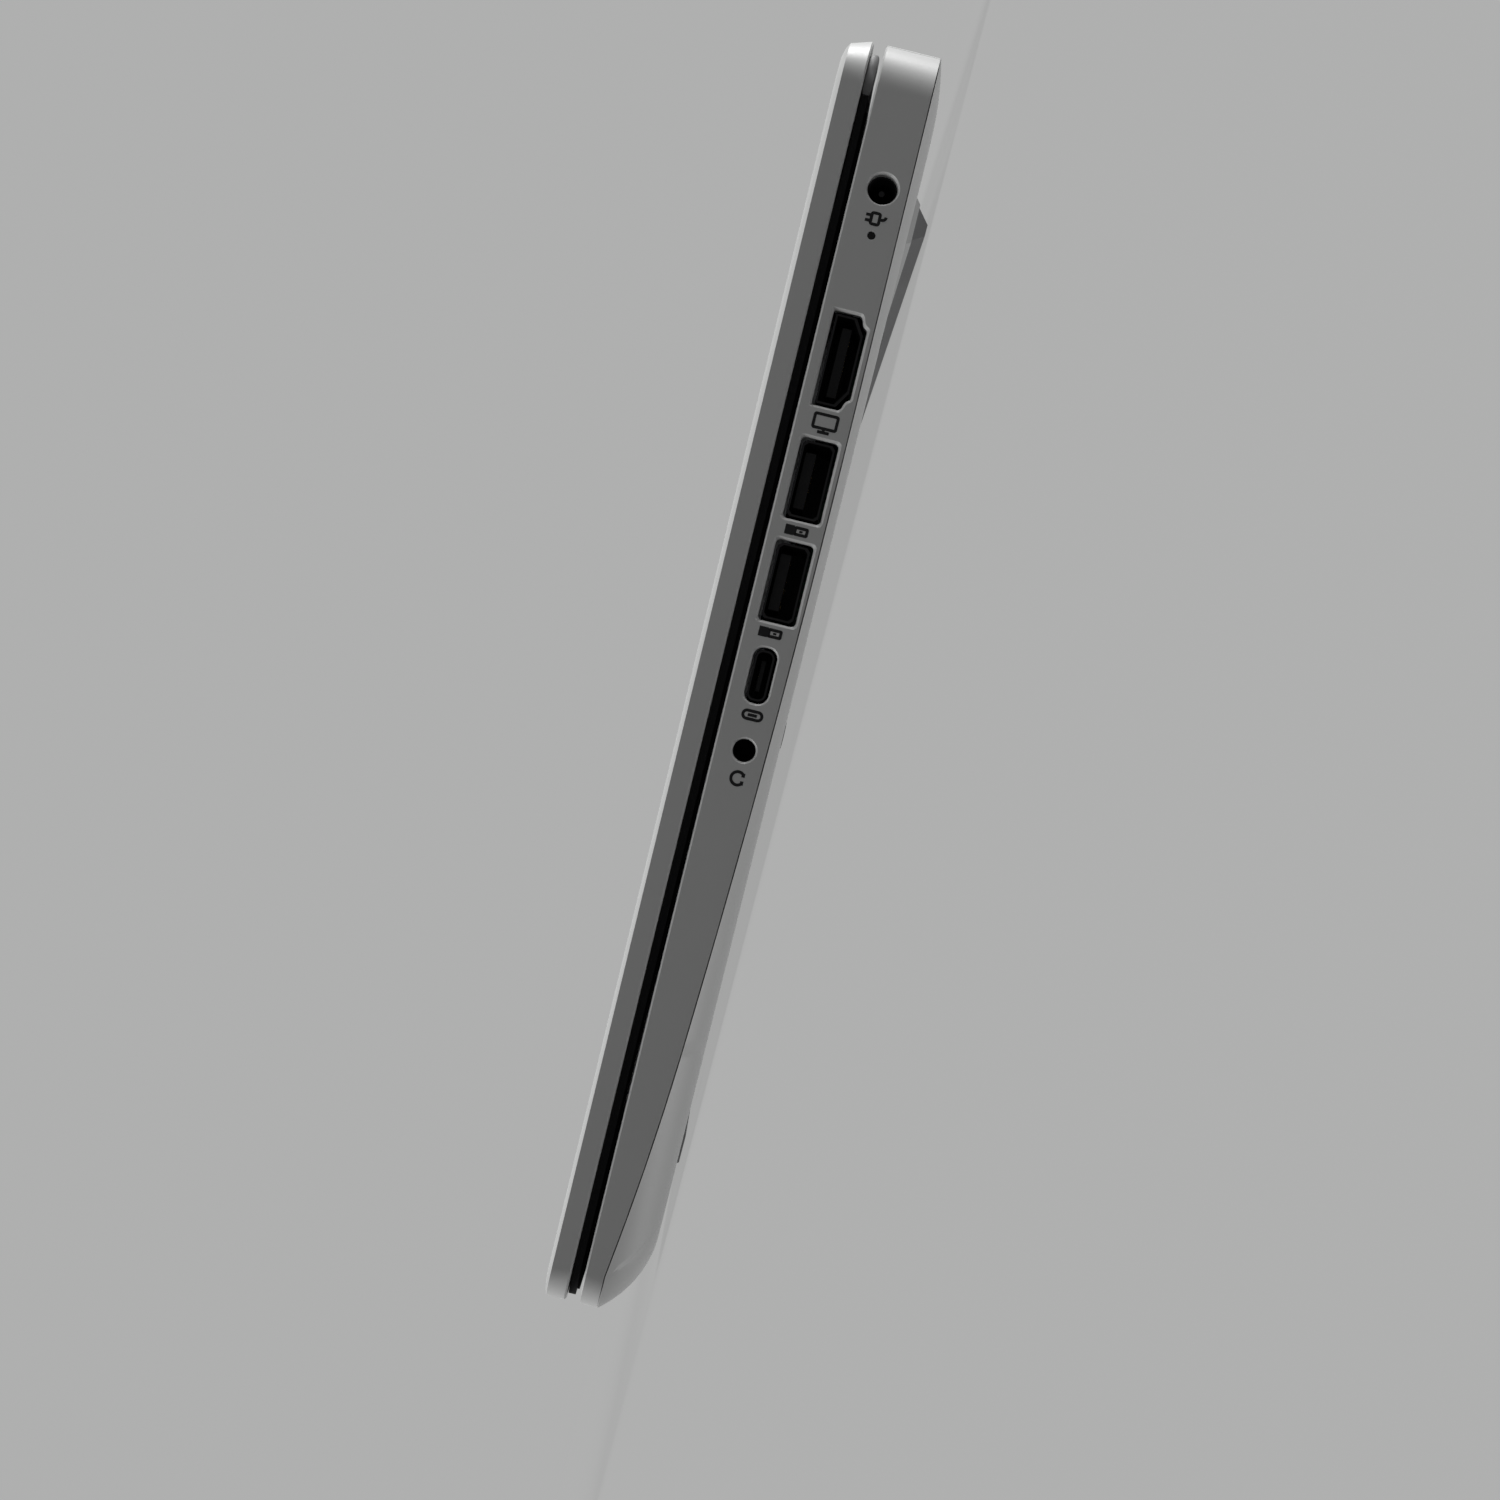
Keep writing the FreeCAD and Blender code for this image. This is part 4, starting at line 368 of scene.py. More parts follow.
CAP_FOOT, CAP_TOP, CAP_DISH, CAP_CORNER = -2.1, -0.25, 0.16, 1.5
CAP_RIM = 0.72
CAP_EDGE = [(0.0, CAP_FOOT), (0.36, -0.75), (0.46, -0.42), (0.56, -0.29), (CAP_RIM, CAP_TOP)]
DISH_SHARES = (0.93, 0.8, 0.62, 0.4, 0.15)
UNIT, KEY_GAP, ARROW_SPLIT = 19.0, 3.0, 0.8
KEY_LEFT, KEY_BACK, FUNCTION_PITCH, ROW_PITCH = -142.5, 27.0, 12.5, 18.4
ROWS = [
    ("keys_function_row", [1.0] * 15,
     "esc f1 f2 f3 f4 f5 f6 f7 f8 f9 f10 f11 f12 power del"),
    ("keys_number_row", [1.0] * 13 + [2.0], "` 1 2 3 4 5 6 7 8 9 0 - = back"),
    ("keys_upper_row", [1.5] + [1.0] * 12 + [1.5], "tab Q W E R T Y U I O P [ ] \\"),
    ("keys_home_row", [1.75] + [1.0] * 11 + [2.25], "caps A S D F G H J K L ; ' enter"),
    ("keys_lower_row", [2.25] + [1.0] * 10 + [2.75], "shift Z X C V B N M , . / shift"),
    ("keys_bottom_row", [1.25] + [1.0] * 3 + [5.75] + [1.0] * 5,
     "ctrl fn menu alt space alt ctrl left up right"),
]
OWN_BODY = {"power": "power_key", "enter": "enter_key", "space": "space_bar", "left": "arrow_keys",
            "up": "arrow_keys", "down": "arrow_keys", "right": "arrow_keys"}


def rounded_ring(half_x, half_y, corner, steps=7):
    """Closed outline of a rectangle with round corners: four quarter circles about the corner centres."""
    turn = np.linspace(0, np.pi / 2, steps)
    x = np.concatenate([s * (half_x - corner) + corner * np.cos(turn + q)
                        for q, s in zip(np.arange(4) * np.pi / 2, (1, -1, -1, 1))])
    y = np.concatenate([s * (half_y - corner) + corner * np.sin(turn + q)
                        for q, s in zip(np.arange(4) * np.pi / 2, (1, 1, -1, -1))])
    return x, y


def dish(across, along, half_x, half_y):
    """Height of a cap's top: a shallow bowl, deepest in the middle, by the larger share of the way out."""
    share = np.maximum(np.abs(across) / half_x, np.abs(along) / half_y)
    return CAP_TOP - CAP_DISH * (1 - np.clip(share, 0, 1) ** 2)


def key_cap(x0, x1, back0, back1):
    """Surface of (ring, place): the foot's outline tapers up, turns over a soft edge and runs inwards
    over the dish in shrinking copies of itself."""
    middle_x, middle_back = (x0 + x1) / 2, (back0 + back1) / 2
    half_x, half_y = (x1 - x0) / 2, (back1 - back0) / 2
    rings = []
    for inset, height in CAP_EDGE:
        x, y = rounded_ring(half_x - inset, half_y - inset, CAP_CORNER)
        rings.append((x, y, height + 0 * x))
    top_x, top_y = half_x - CAP_RIM, half_y - CAP_RIM
    for share in DISH_SHARES:
        x, y = rounded_ring(top_x, top_y, CAP_CORNER)
        rings.append((x * share, y * share, dish(x * share, y * share, top_x, top_y)))
    x, y, z = (np.array(part) for part in zip(*rings))
    around = x.shape[1]
    points = standing(middle_x + x, middle_back - y, z)
    faces = ring_quads(len(rings), around).tolist()
    faces.append([(len(rings) - 1) * around + i for i in range(around)])
    faces.append([around - 1 - i for i in range(around)])
    return points, faces


def finder(place):
    """Low bar near the front of the two finding keys: surface of (ring, place), a round-ended outline that
    shrinks as a quarter circle while it rises 0.25 mm."""
    x, y = rounded_ring(2.0, 0.35, 0.34)
    turn = np.linspace(0, np.pi / 2, 5)[:-1, None]
    x, y = x * (1 - 0.1 * (1 - np.cos(turn))), y * np.cos(turn)
    z = CAP_TOP - 0.14 + 0.25 * np.sin(turn) + 0 * x
    points = standing((place[0] + place[1]) / 2 + x, place[3] - 3.6 - y, z)
    rings, around = x.shape
    return points, ring_quads(rings, around).tolist() + [list(range((rings - 1) * around, rings * around))]


keys = []
back = KEY_BACK
for row, widths, words in ROWS:
    pitch = FUNCTION_PITCH if row == "keys_function_row" else ROW_PITCH
    left = KEY_LEFT
    for width, word in zip(widths, words.split()):
        place = [left + KEY_GAP / 2, left + width * UNIT - KEY_GAP / 2,
                 back + KEY_GAP / 2, back + pitch - KEY_GAP / 2]
        if word == "up":
            middle = (place[2] + place[3]) / 2
            keys.append((row, "down", place[0], place[1], middle + ARROW_SPLIT / 2, place[3]))
            place[3] = middle - ARROW_SPLIT / 2
        keys.append((row, word, *place))
        left += width * UNIT
    back += pitch

by_body = {}
for row, word, *place in keys:
    by_body.setdefault(OWN_BODY.get(word, row), []).append((word, place))
for body, members in by_body.items():
    points, faces = gather([key_cap(*place) for word, place in members]
                           + [finder(place) for word, place in members if word in ("F", "J")])
    caps = make_piece(body + "_caps", points, faces, white_cap, body)
    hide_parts(body)


def stroke(path, width, closed=False):
    """Flat ribbon along a path: each point is set out by half the width to both sides, along the normal
    of the chord between its neighbours."""
    path = np.asarray(path, float)
    if closed:
        run = np.roll(path, -1, 0) - np.roll(path, 1, 0)
    else:
        run = np.gradient(path, axis=0)
    run /= np.linalg.norm(run, axis=1)[:, None]
    side = np.stack([-run[:, 1], run[:, 0]], -1) * width / 2
    points = np.concatenate([path - side, path + side])
    count = len(path)
    start = np.arange(count if closed else count - 1)
    after = (start + 1) % count
    return points, np.stack([start, after, after + count, start + count], -1).tolist()


def arc(centre, radius, first, last, steps=20):
    """Points of a circle's arc between two angles in degrees."""
    turn = np.radians(np.linspace(first, last, steps))
    return np.stack([centre[0] + radius * np.cos(turn), centre[1] + radius * np.sin(turn)], -1)


def bar(start, end, width):
    """Straight ribbon between two points."""
    return stroke(np.linspace(start, end, 3), width)


def flat_parts(parts):
    """Several flat (points, faces) pairs as one."""
    solid = [(np.c_[some, np.zeros(len(some))], faces) for some, faces in parts]
    points, faces = gather(solid)
    return points[:, :2], faces


def arrow(turn):
    """Triangle that points to the right, turned by an angle in degrees."""
    corners = np.array([[-0.8, -1.0], [0.9, 0.0], [-0.8, 1.0]])
    c, s = math.cos(math.radians(turn)), math.sin(math.radians(turn))
    return corners @ np.array([[c, s], [-s, c]]), [[0, 1, 2]]


def lettering(words):
    """Each word as flat triangles one unit high, made from the built-in typeface."""
    made = {}
    texts = {}
    for word in words:
        curve = bpy.data.curves.new("legend", "FONT")
        curve.body = word
        curve.resolution_u = 3
        texts[word] = bpy.data.objects.new("legend", curve)
        bpy.context.scene.collection.objects.link(texts[word])
    shown = bpy.context.evaluated_depsgraph_get()
    for word, text in texts.items():
        mesh = bpy.data.meshes.new_from_object(text.evaluated_get(shown))
        flat = np.zeros(len(mesh.vertices) * 3)
        mesh.vertices.foreach_get("co", flat)
        made[word] = flat.reshape(-1, 3)[:, :2], [list(face.vertices) for face in mesh.polygons]
        bpy.data.meshes.remove(mesh)
        curve = text.data
        bpy.data.objects.remove(text)
        bpy.data.curves.remove(curve)
    return made


SIGN_LINE = 0.34
SIGNS = {
    "left": arrow(180),
    "right": arrow(0),
    "up": arrow(90),
    "down": arrow(270),
    "power": flat_parts([stroke(arc((0, 0), 1.3, 125, 415, 30), SIGN_LINE),
                         bar((0, 0.3), (0, 1.7), SIGN_LINE)]),
    "menu": flat_parts([bar((-1.3, y), (1.3, y), SIGN_LINE) for y in (-0.9, 0.0, 0.9)]),
}
spelled = lettering(sorted({word for row, word, *place in keys} - set(SIGNS) - {"space"}))
LETTER_SIZE, WORD_SIZE, WORD_MARGIN, PRINT_HEIGHT = 5.4, 3.4, 2.0, 0.015
TALL_HALF, WIDE_HALF = 5, 8


def legend(word, place):
    """A cap's print, just above its dish: signs and single letters in the middle, words on wide caps
    WORD_MARGIN from the dish's left edge. The two sizes are those of one unit of the typeface."""
    x0, x1, back0, back1 = place
    half_x, half_y = (x1 - x0) / 2 - CAP_RIM, (back1 - back0) / 2 - CAP_RIM
    flat, faces = SIGNS[word] if word in SIGNS else spelled[word]
    if word in spelled:
        flat = flat * (LETTER_SIZE if len(word) == 1 and half_y > TALL_HALF else WORD_SIZE)
    flat = flat - (flat.max(0) + flat.min(0)) / 2
    if word in spelled and len(word) > 1 and half_x > WIDE_HALF:
        flat = flat - np.array([flat[:, 0].min() + half_x - WORD_MARGIN, 0])
    height = dish(flat[:, 0], flat[:, 1], half_x, half_y) + PRINT_HEIGHT
    return standing((x0 + x1) / 2 + flat[:, 0], (back0 + back1) / 2 - flat[:, 1], height), faces


for body, members in by_body.items():
    printed = [legend(word, place) for word, place in members if word != "space"]
    if printed:
        points, faces = gather(printed)
        make_piece(body + "_legends", points, faces, legend_ink, body)

# Touchpad: a glass-topped plate with a satin white face that pivots on a bead along its rear edge. The
# bead rests in a pressed steel bracket, and a press switch sits under the front of the plate.

pad_satin = paint("pad_satin", (0.72, 0.725, 0.72), 0.3, grain=0.0005, relief=0.05, mottle=0.01)
dress("touchpad", pad_satin)
dress("touchpad_bracket", plated_steel)
dress("touchpad_switch", dark_plastic)

# Top case: deck and side walls in one white moulding, with the openings for keys, touchpad, speaker
# grille and sockets. The socket mouths have a fine chamfer that catches the light. The three largest are
# cut here, with rounder corners and a wider chamfer than the solid has.

MOUTH_DEPTH, CHAMFER, PROUD = 2.3, 0.4, 0.2


def mouth(across, drop, back, middle):
    """Closed cutter of (ring, place) for a socket's opening: the outline runs through the wall and opens by
    45 degrees over the chamfer, each ring being the outline stretched to its new half sizes."""
    grow = np.array([0.0, 0.0, CHAMFER + PROUD])[:, None]
    x = np.array([SIDE - MOUTH_DEPTH, SIDE - CHAMFER, SIDE + PROUD])[:, None]
    wide = across * (1 + grow / np.abs(across).max())
    tall = drop * (1 + grow / np.abs(drop).max())
    points = standing(x, back - wide, -middle - tall)
    count = len(across)
    ends = [list(range(count))[::-1], list(range(2 * count, 3 * count))]
    return points, ring_quads(3, count).tolist() + ends


def rounded_off(corners, times=3):
    """Closed outline with soft corners: each side gives its quarter points, again and again."""
    path = np.array(corners, float)
    for _ in range(times):
        after = np.roll(path, -1, 0)
        path = np.stack([0.75 * path + 0.25 * after, 0.25 * path + 0.75 * after], 1).reshape(-1, 2)
    return path[:, 0], path[:, 1]


VIDEO_BACK, VIDEO_DROP = 57.16, 5.27
TYPE_A_BACKS, TYPE_A_DROP = (77.8, 95.4), 5.16
VIDEO_HALF = [(8.15, -3.12), (8.15, -2.2), (8.15, 0.6), (8.15, 1.55), (7.55, 2.0), (6.75, 2.2), (6.25, 2.6),
              (6.0, 3.12), (5.2, 3.12), (2.0, 3.12)]
VIDEO_TOP = [(-7.2, -3.12), (7.2, -3.12)]
video_opening = rounded_off(VIDEO_HALF + [(-y, z) for y, z in VIDEO_HALF[::-1]] + VIDEO_TOP)
flat_opening = rounded_ring(7.0, 3.25, 0.8)
mouths = [mouth(*video_opening, VIDEO_BACK, VIDEO_DROP)]
mouths += [mouth(*flat_opening, back, TYPE_A_DROP) for back in TYPE_A_BACKS]
points, faces = gather(mouths)
cutter_mesh = bpy.data.meshes.new("cutter")
cutter_mesh.from_pydata(points.tolist(), [], faces)
solid = bmesh.new()
solid.from_mesh(cutter_mesh)
bmesh.ops.recalc_face_normals(solid, faces=solid.faces)
solid.to_mesh(cutter_mesh)
solid.free()
cutter = bpy.data.objects.new("cutter", cutter_mesh)
bpy.context.scene.collection.objects.link(cutter)
moulding("top_case_skin", "top_case", white_spray, "base", cutter=cutter)

# Printed marks beside the sockets: dark ink, pad printed on the right-hand wall. Each is a plain
# pictogram: plug, screen, flat plug, pill-shaped plug and headset.

mark_ink = paint("mark_ink", (0.012, 0.012, 0.013), 0.7, shine=0.2, grain=0.0002, relief=0.05, mottle=0.08)
MARK_SCALE, INK_HEIGHT, INK_LAYER, LINE = 1.12, 0.01, 0.004, 0.46


def pill(half_x, half_y, corner):
    """Rectangle with round corners as a closed list of points."""
    return np.stack(rounded_ring(half_x, half_y, corner, 5), -1)


def mark(parts, back, drop):
    """A pictogram on the wall, drawn with its right towards the underside and its top to the rear. Each
    stroke lies one layer of ink above the stroke before it."""
    layers = []
    for i, (flat, faces) in enumerate(parts):
        right, up = MARK_SCALE * flat.T
        layers.append((standing(SIDE + INK_HEIGHT + INK_LAYER * i, back - up, -drop - right), faces))
    return gather(layers)


plug_mark = [
    stroke(pill(0.62, 0.85, 0.25), LINE, True),
    bar((-1.5, 0.42), (-0.6, 0.42), LINE),
    bar((-1.5, -0.42), (-0.6, -0.42), LINE),
    stroke(np.concatenate([[[0.6, 0.0]], arc((1.0, 0.55), 0.55, 270, 360, 8)]), LINE),
]
screen_mark = [
    stroke(pill(1.75, 1.05, 0.2), LINE, True),
    bar((-0.9, -1.65), (0.9, -1.65), LINE),
    bar((0, -1.6), (0, -1.0), LINE),
]
flat_plug_mark = [
    bar((-2.1, 0), (-0.7, 0), 1.5),
    stroke(pill(0.9, 0.5, 0.1) + [0.35, 0], LINE, True),
    bar((0.1, 0), (0.6, 0), 0.3),
]
pill_plug_mark = [
    stroke(pill(1.45, 0.62, 0.6), LINE, True),
    bar((-0.7, 0), (0.7, 0), LINE),
]
headset_mark = [
    stroke(arc((0, 0), 1.0, 35, 325, 26), LINE),
    bar((0.75, 0.9), (0.75, 0.3), 0.5),
    bar((0.75, -0.9), (0.75, -0.3), 0.5),
]
points, faces = gather([
    mark(plug_mark, 32.76, 5.2),
    mark(screen_mark, 67.75, 5.2),
    mark(flat_plug_mark, 86.6, 5.2),
    mark(flat_plug_mark, 104.2, 5.0),
    mark(pill_plug_mark, 118.3, 5.0),
    mark(headset_mark, 129.1, 5.1),
])
make_piece("socket_marks", points, faces, mark_ink, "base")

# Sockets: folded steel shells, round black moulded cores with gilt contacts, all soldered to the board
# behind the wall, two round sockets in black housings, and the guide of the charge light, which looks dark
# while the light is off. The shells, the jack's pin and the cores are painted near black, darker than their
# metal and plastic are, as painted shade for the dark inside of the socket mouths.

# Painted shade: the shells' metal is painted near black to stand for the shade inside the mouths.
shell_metal_painted_shade = paint("shell_metal_painted_shade", (0.012, 0.012, 0.0125), 0.5, metallic=0.9, grain=0.0002, relief=0.15,
                     mottle=0.08)
# Painted shade: the cores' black plastic is painted darker still, as the shade inside the mouths.
core_black_and_shade = paint("core_black_and_shade", (0.004, 0.004, 0.0045), 0.7, grain=0.0002, relief=0.25, mottle=0.15,
                   shine=0.2)
light_guide = paint("light_guide", (0.004, 0.004, 0.0045), 0.4, grain=0.0002, relief=0.05, mottle=0.1,
                    shine=0.15)
for node in ("video_port", "type_a_port_rear", "type_a_port_front", "type_c_port", "power_jack_pin"):
    dress(node, shell_metal_painted_shade)
for node in ("port_cores", "power_jack", "headset_jack"):
    dress(node, core_black_and_shade)
dress("charge_light", light_guide)

contact_gold = paint("contact_gold", (0.75, 0.55, 0.22), 0.3, metallic=1.0, grain=0.0002, relief=0.1,
                     mottle=0.06)


def contact(inner, outer, back, height, width, rise):
    """Spring contact as a strip: a shallow hump of height + rise sin(pi t) along its length, its sides
    rounded over."""
    t = np.linspace(0, 1, 9)[:, None]
    across = np.array([-0.5, -0.4, 0.4, 0.5])
    lower = np.array([-0.05, 0.0, 0.0, -0.05])
    points = standing(inner + (outer - inner) * t, back + width * across,
                      height + rise * np.sin(np.pi * t) + np.sign(rise) * lower)
    return points, ring_quads(len(t), len(across), closed=False).tolist()


TYPE_C_BACK, TYPE_C_DROP = 111.5, 4.78
strips = []
for socket in TYPE_A_BACKS:
    for step in (-3.5, -1.0, 1.0, 3.5):
        strips.append(contact(inner=152.5, outer=159.2, back=socket + step, height=0.1 - TYPE_A_DROP,
                              width=0.9, rise=-0.25))
for step in range(-5, 6):
    strips.append(contact(inner=153.0, outer=159.6, back=VIDEO_BACK + 0.9 * step, height=-0.6 - VIDEO_DROP,
                          width=0.4, rise=-0.12))
for step in range(-5, 6):
    strips.append(contact(inner=154.2, outer=160.0, back=TYPE_C_BACK + 0.5 * step, height=0.36 - TYPE_C_DROP,
                          width=0.25, rise=0.02))
points, faces = gather(strips)
make_piece("socket_contacts", points, faces, contact_gold, "base")

# Speaker grille: a slotted strip, moulded in the white of the keyboard web and let into the deck behind
# the keys, with black woven gauze stretched and glued under it.

dress("speaker_grille", white_web)
GAUZE_HALF, GAUZE_BACK, GAUZE_REACH, GAUZE_HEIGHT, GAUZE_SAG = 89.0, 15.5, 5.1, -1.52, 0.1


def gauze():
    """Surface of (x, share): a stretched sheet just under the strip that sags along its middle by
    GAUZE_SAG (1 - share^2)."""
    x, share = np.meshgrid(np.linspace(-GAUZE_HALF, GAUZE_HALF, 60), np.linspace(-1, 1, 9), indexing="ij")
    height = GAUZE_HEIGHT - GAUZE_SAG * (1 - share ** 2)
    return standing(x, GAUZE_BACK + GAUZE_REACH * share, height), ring_quads(*x.shape, closed=False)


black_gauze = paint("black_gauze", (0.006, 0.006, 0.0065), 0.85, grain=0.0004, relief=1.0, mottle=0.3,
                    shine=0.1)
points, faces = gauze()
make_piece("speaker_gauze", points, faces, black_gauze, "base")

# Hinge: two steel brackets with knuckles on the base, two steel arms in the lid, and the long grey
# barrel that covers them between the notches of the lid.

hinge_grey = paint("hinge_grey", (0.20, 0.20, 0.205), 0.5, grain=0.0003, relief=0.3, mottle=0.05)
moulding("hinge_cover_skin", "hinge_cover", hinge_grey, "base")
for node in ("hinge_bracket_right", "hinge_bracket_left", "hinge_arm_right", "hinge_arm_left"):
    dress(node, plated_steel)

# Lid cover: the white outer shell of the lid, moulded and sprayed like the base, with an upright wall,
# a crisp crease and a soft crown.

moulding("lid_cover_skin", "lid_cover", white_spray, "lid")

# End caps: a small grey plug at each end of the lid's rear edge, moulded in soft plastic and pressed
# in beside the frame. They close the gap next to the hinge.

END_HALF, END_RISE, END_BACK, END_HEIGHT = 4.0, 0.9, 8.6, 1.35
END_STATIONS, END_INSETS = (158.2, 161.3, 161.5, 161.6), (0.0, 0.0, 0.06, 0.2)


def end_cap(hand):
    """Surface of (station, place): the outline |b / END_HALF|^4 + |z / END_RISE|^4 = 1 carried out along X,
    its last stations drawn in, and set back by R - sqrt(R^2 - d^2) where the lid's corner of radius R
    turns away. Strips between its upper and lower half close the end."""
    station, inset = (np.array(part)[:, None] for part in (END_STATIONS, END_INSETS))
    turn = (np.arange(48) + 0.5) * np.pi / 24
    along = (END_HALF - inset) * np.sign(np.cos(turn)) * np.sqrt(np.abs(np.cos(turn)))
    up = (END_RISE - inset) * np.sign(np.sin(turn)) * np.sqrt(np.abs(np.sin(turn)))
    back = END_BACK - along
    away = np.clip(CORNER_REAR - back, 0, CORNER_REAR)
    corner = CORNER_REAR - np.sqrt(CORNER_REAR ** 2 - away ** 2)
    points = standing(hand * (station - corner), back, END_HEIGHT + up)
    rings, count = along.shape
    step = np.arange(count // 2 - 1)
    upper, lower = (rings - 1) * count + step, rings * count - 1 - step
    end = np.stack([upper, upper + 1, lower - 1, lower], -1)
    quads = np.concatenate([ring_quads(rings, count), end])
    return points, (quads if hand > 0 else quads[:, ::-1]).tolist()


cap_grey = paint("cap_grey", (0.16, 0.16, 0.163), 0.55, grain=0.0003, relief=0.3, mottle=0.05)
points, faces = gather([end_cap(1), end_cap(-1)])
make_piece("lid_end_caps", points, faces, cap_grey, "lid")

# Screen: a dark panel behind a black frame with a soft bumper round it, and the camera in its top
# border. The frame is snapped into the lid cover. The frame and the bumper are painted darker than black
# plastic and rubber are, as painted shade in the gap between the lid and the base.

screen_dark = paint("screen_dark", (0.010, 0.011, 0.013), 0.16, grain=0.0006, relief=0.02, mottle=0.08,
                    spread=0.03)
# Painted shade: the frame's black is deepened to the shade of the gap under the lid.
frame_black_and_shade = paint("frame_black_and_shade", (0.004, 0.004, 0.0045), 0.7, grain=0.0003, relief=0.4, mottle=0.1,
                    shine=0.12)
# Painted shade: the bumper's black is deepened to the shade of the gap under the lid.
bumper_rubber_and_shade = paint("bumper_rubber_and_shade", (0.003, 0.003, 0.0033), 0.85, grain=0.0003, relief=0.3, mottle=0.1,
                      shine=0.08)
lens_glass = paint("lens_glass", (0.012, 0.012, 0.016), 0.08, grain=0.0004, relief=0.02, mottle=0.1,
                   spread=0.02)
dress("display_panel", screen_dark)
dress("screen_bezel", frame_black_and_shade)
dress("lid_bumper", bumper_rubber_and_shade)
dress("camera_module", lens_glass)


def turned(x, back, radii, heights):
    """Surface of (ring, angle): a profile of radius and height turned about an upright axis, with its last
    ring closed by a face."""
    angle = np.linspace(0, 2 * np.pi, 40, endpoint=False)
    radius, height = (np.array(part, float)[:, None] for part in (radii, heights))
    points = standing(x + radius * np.cos(angle), back + radius * np.sin(angle), height + 0 * angle)
    rings, around = len(radii), len(angle)
    return points, ring_quads(rings, around).tolist() + [list(range((rings - 1) * around, rings * around))]


CAMERA_BACK = 218.2
points, faces = turned(0.0, CAMERA_BACK, (2.1, 2.05, 1.95, 1.55, 1.42, 1.36),
                       (0.85, 0.76, 0.73, 0.73, 0.8, 1.0))
make_piece("camera_ring", points, faces[:-1], dark_plastic, "lid")
points, faces = turned(0.0, CAMERA_BACK, (1.4, 1.2, 0.9, 0.5, 0.1), (1.06, 0.98, 0.93, 0.9, 0.89))
make_piece("camera_glass", points, faces, lens_glass, "lid")
dots = [turned(x, CAMERA_BACK, (0.45, 0.42, 0.3, 0.1), (0.83, 0.785, 0.775, 0.77)) for x in (-28, 5.5, 28)]
points, faces = gather(dots)
make_piece("camera_dots", points, faces, light_guide, "lid")

# Floor, light and camera: a pale seamless floor and background, a wide soft light low at the rear, a
# weaker one high at the front, a faint one from below, which the floor lets through, and the camera low
# beside the sockets.

BACKGROUND = (0.43, 0.43 * 1.005, 0.43, 1)
FILL = (0.09, 0.09, 0.09, 1)
FLOOR_SEEN = (0.12, 0.1206, 0.12, 1)
FLOOR_BOUNCE = (0.08, 0.08, 0.08, 1)
FLOOR_GLOW = (0.343, 0.3447, 0.343, 1)
FLOOR_HALF, FLOOR_DROP = 6, 0.00005


def seen_directly(tree):
    """1 for camera, glossy and transmission rays, 0 for the light that bounces about."""
    path = tree.nodes.new("ShaderNodeLightPath")
    total = path.outputs["Is Camera Ray"]
    for name in ("Is Glossy Ray", "Is Transmission Ray"):
        add = tree.nodes.new("ShaderNodeMath")
        add.operation = "MAXIMUM"
        tree.links.new(total, add.inputs[0])
        tree.links.new(path.outputs[name], add.inputs[1])
        total = add.outputs["Value"]
    return total


floor_mesh = bpy.data.meshes.new("floor")
corners = [(FLOOR_HALF * x, FLOOR_HALF * y, -FLOOR_DROP) for x, y in ((-1, -1), (1, -1), (1, 1), (-1, 1))]
floor_mesh.from_pydata(corners, [], [(0, 1, 2, 3)])
floor = bpy.data.objects.new("floor", floor_mesh)
bpy.context.scene.collection.objects.link(floor)
floor_paint = bpy.data.materials.new("floor_paint")
floor_paint.use_nodes = True
tree = floor_paint.node_tree
shader = tree.nodes["Principled BSDF"]
shader.inputs["Roughness"].default_value = 0.9
shader.inputs["Specular IOR Level"].default_value = 0.0
shade = tree.nodes.new("ShaderNodeMix")
shade.data_type = "RGBA"
shade.inputs[6].default_value = FLOOR_BOUNCE
shade.inputs[7].default_value = FLOOR_SEEN
seen = seen_directly(tree)
tree.links.new(seen, shade.inputs["Factor"])
tree.links.new(shade.outputs[2], shader.inputs["Base Color"])
shader.inputs["Emission Color"].default_value = FLOOR_GLOW
tree.links.new(seen, shader.inputs["Emission Strength"])
floor_mesh.materials.append(floor_paint)
floor.visible_shadow = False

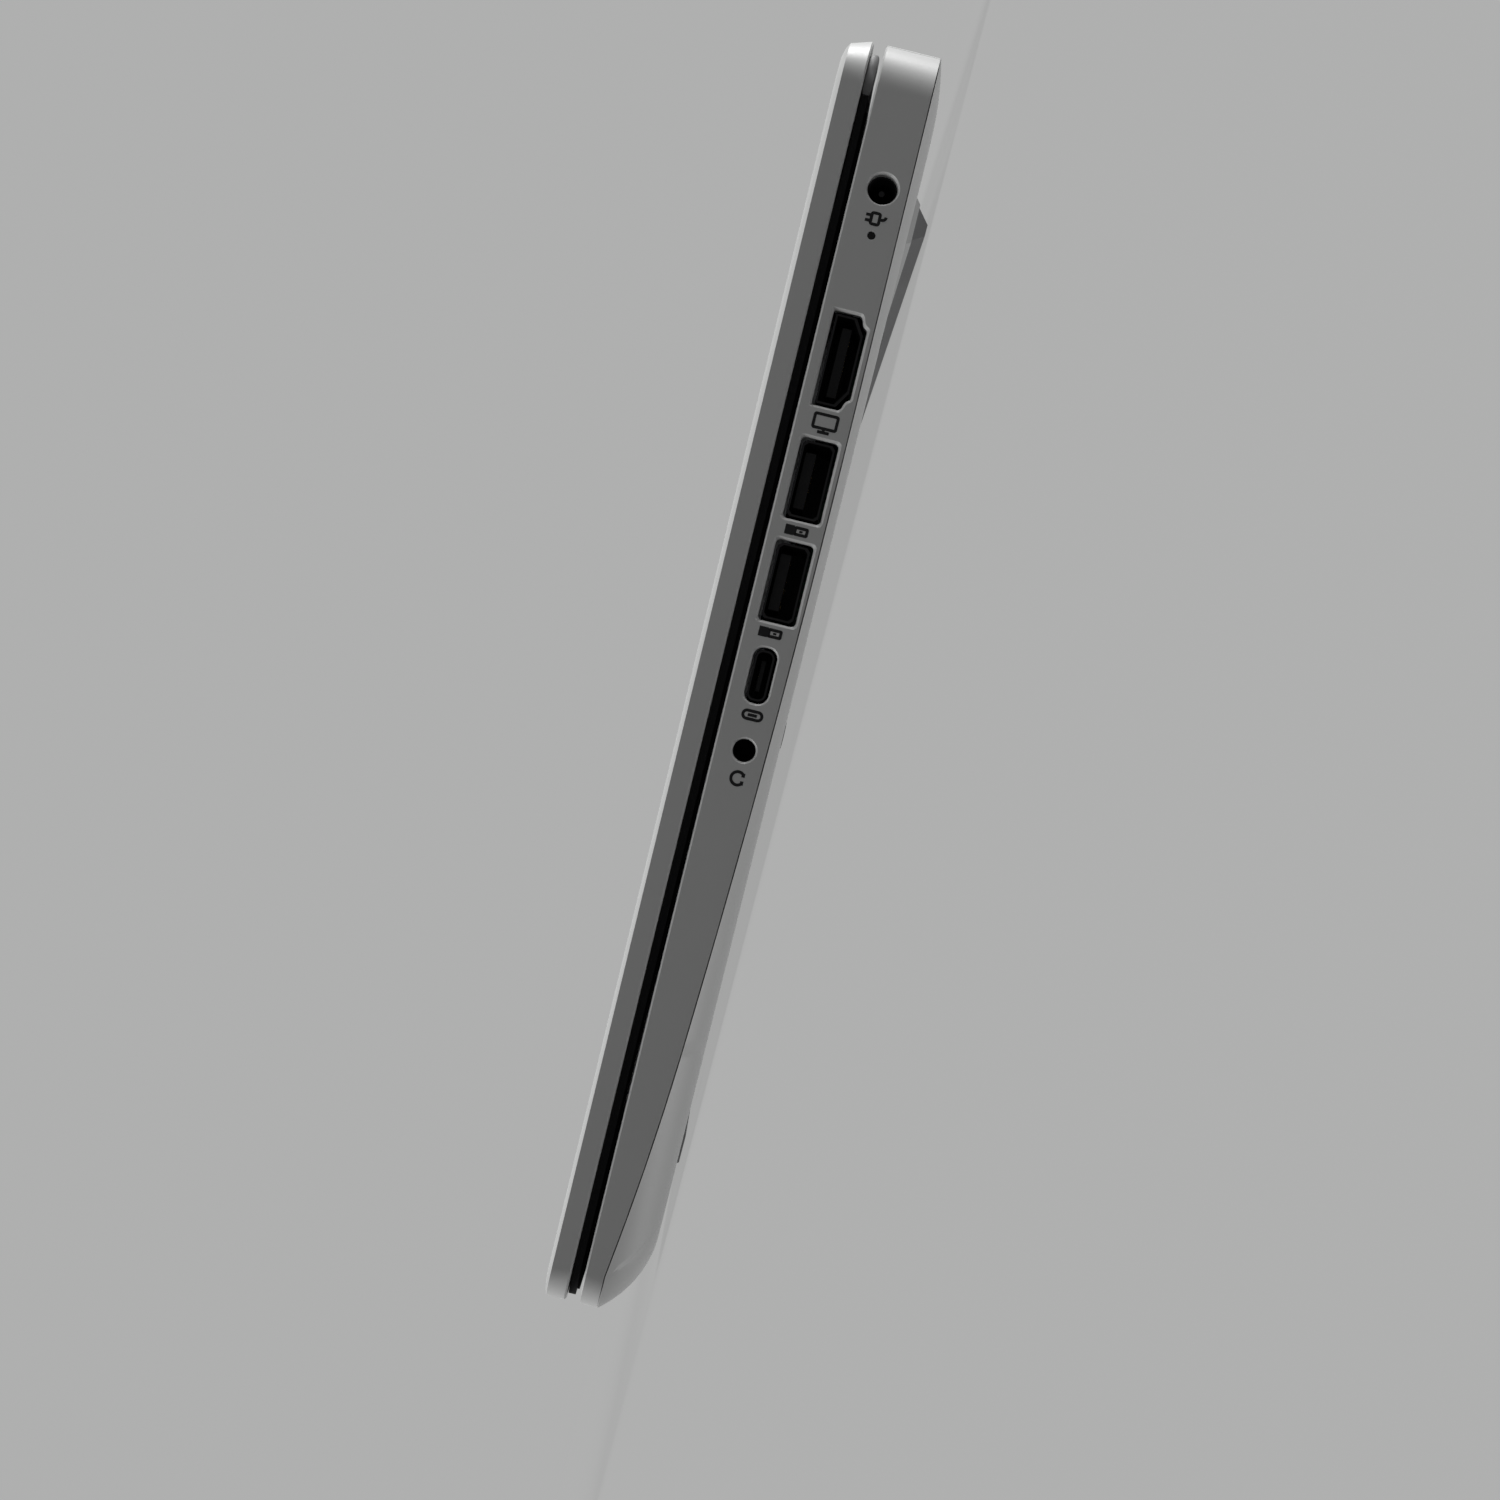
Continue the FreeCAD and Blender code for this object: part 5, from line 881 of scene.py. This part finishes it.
world = bpy.data.worlds.new("studio")
bpy.context.scene.world = world
world.use_nodes = True
tree = world.node_tree
sky = tree.nodes["Background"]
tone = tree.nodes.new("ShaderNodeMix")
tone.data_type = "RGBA"
tone.inputs[6].default_value = FILL
tone.inputs[7].default_value = BACKGROUND
tree.links.new(seen_directly(tree), tone.inputs["Factor"])
tree.links.new(tone.outputs[2], sky.inputs["Color"])


def soft_sun(name, towards, strength, spread):
    """Even light from one direction, as wide in the sky as `spread` degrees."""
    lamp = bpy.data.lights.new(name, "SUN")
    lamp.energy = strength
    lamp.angle = math.radians(spread)
    sun = bpy.data.objects.new(name, lamp)
    away = np.array(towards, float) / np.linalg.norm(towards)
    across = np.cross([0.0, 0.0, 1.0], away)
    across /= np.linalg.norm(across)
    matrix = np.eye(4)
    matrix[:3, 0], matrix[:3, 1], matrix[:3, 2] = across, np.cross(away, across), away
    sun.matrix_world = Matrix(matrix.tolist())
    bpy.context.scene.collection.objects.link(sun)


soft_sun("rear_light", (-0.07, 0.94, 0.24), 3.0, 24)
soft_sun("front_light", (-0.01, -0.75, 0.62), 2.0, 30)
soft_sun("floor_light", (-0.06, -0.10, -0.99), 0.8, 30)

DISTANCE, VIEW_WIDTH, SENSOR = 262.0, 250.8, 36.0
AIM_BACK, AIM_HEIGHT = 124.0, -6.0
ROLL_SIN, ROLL_COS = 0.2381, 0.9712
aim = standing(SIDE, AIM_BACK, AIM_HEIGHT)
c, s = math.cos(WEDGE), math.sin(WEDGE)
tip = np.array([[1, 0, 0], [0, c, -s], [0, s, c]])
matrix = np.eye(4)
matrix[:3, 0] = tip @ np.array([0, ROLL_SIN, -ROLL_COS])
matrix[:3, 1] = tip @ np.array([0, ROLL_COS, ROLL_SIN])
matrix[:3, 2] = (1, 0, 0)
matrix[:3, 3] = aim + np.array([DISTANCE / 1000, 0, 0])
lens = bpy.data.cameras.new("camera")
lens.sensor_width = SENSOR
lens.lens = SENSOR * DISTANCE / VIEW_WIDTH
lens.clip_start = 0.005
camera = bpy.data.objects.new("camera", lens)
camera.matrix_world = Matrix(matrix.tolist())
bpy.context.scene.collection.objects.link(camera)
bpy.context.scene.camera = camera
bpy.context.scene.view_settings.view_transform = "Standard"
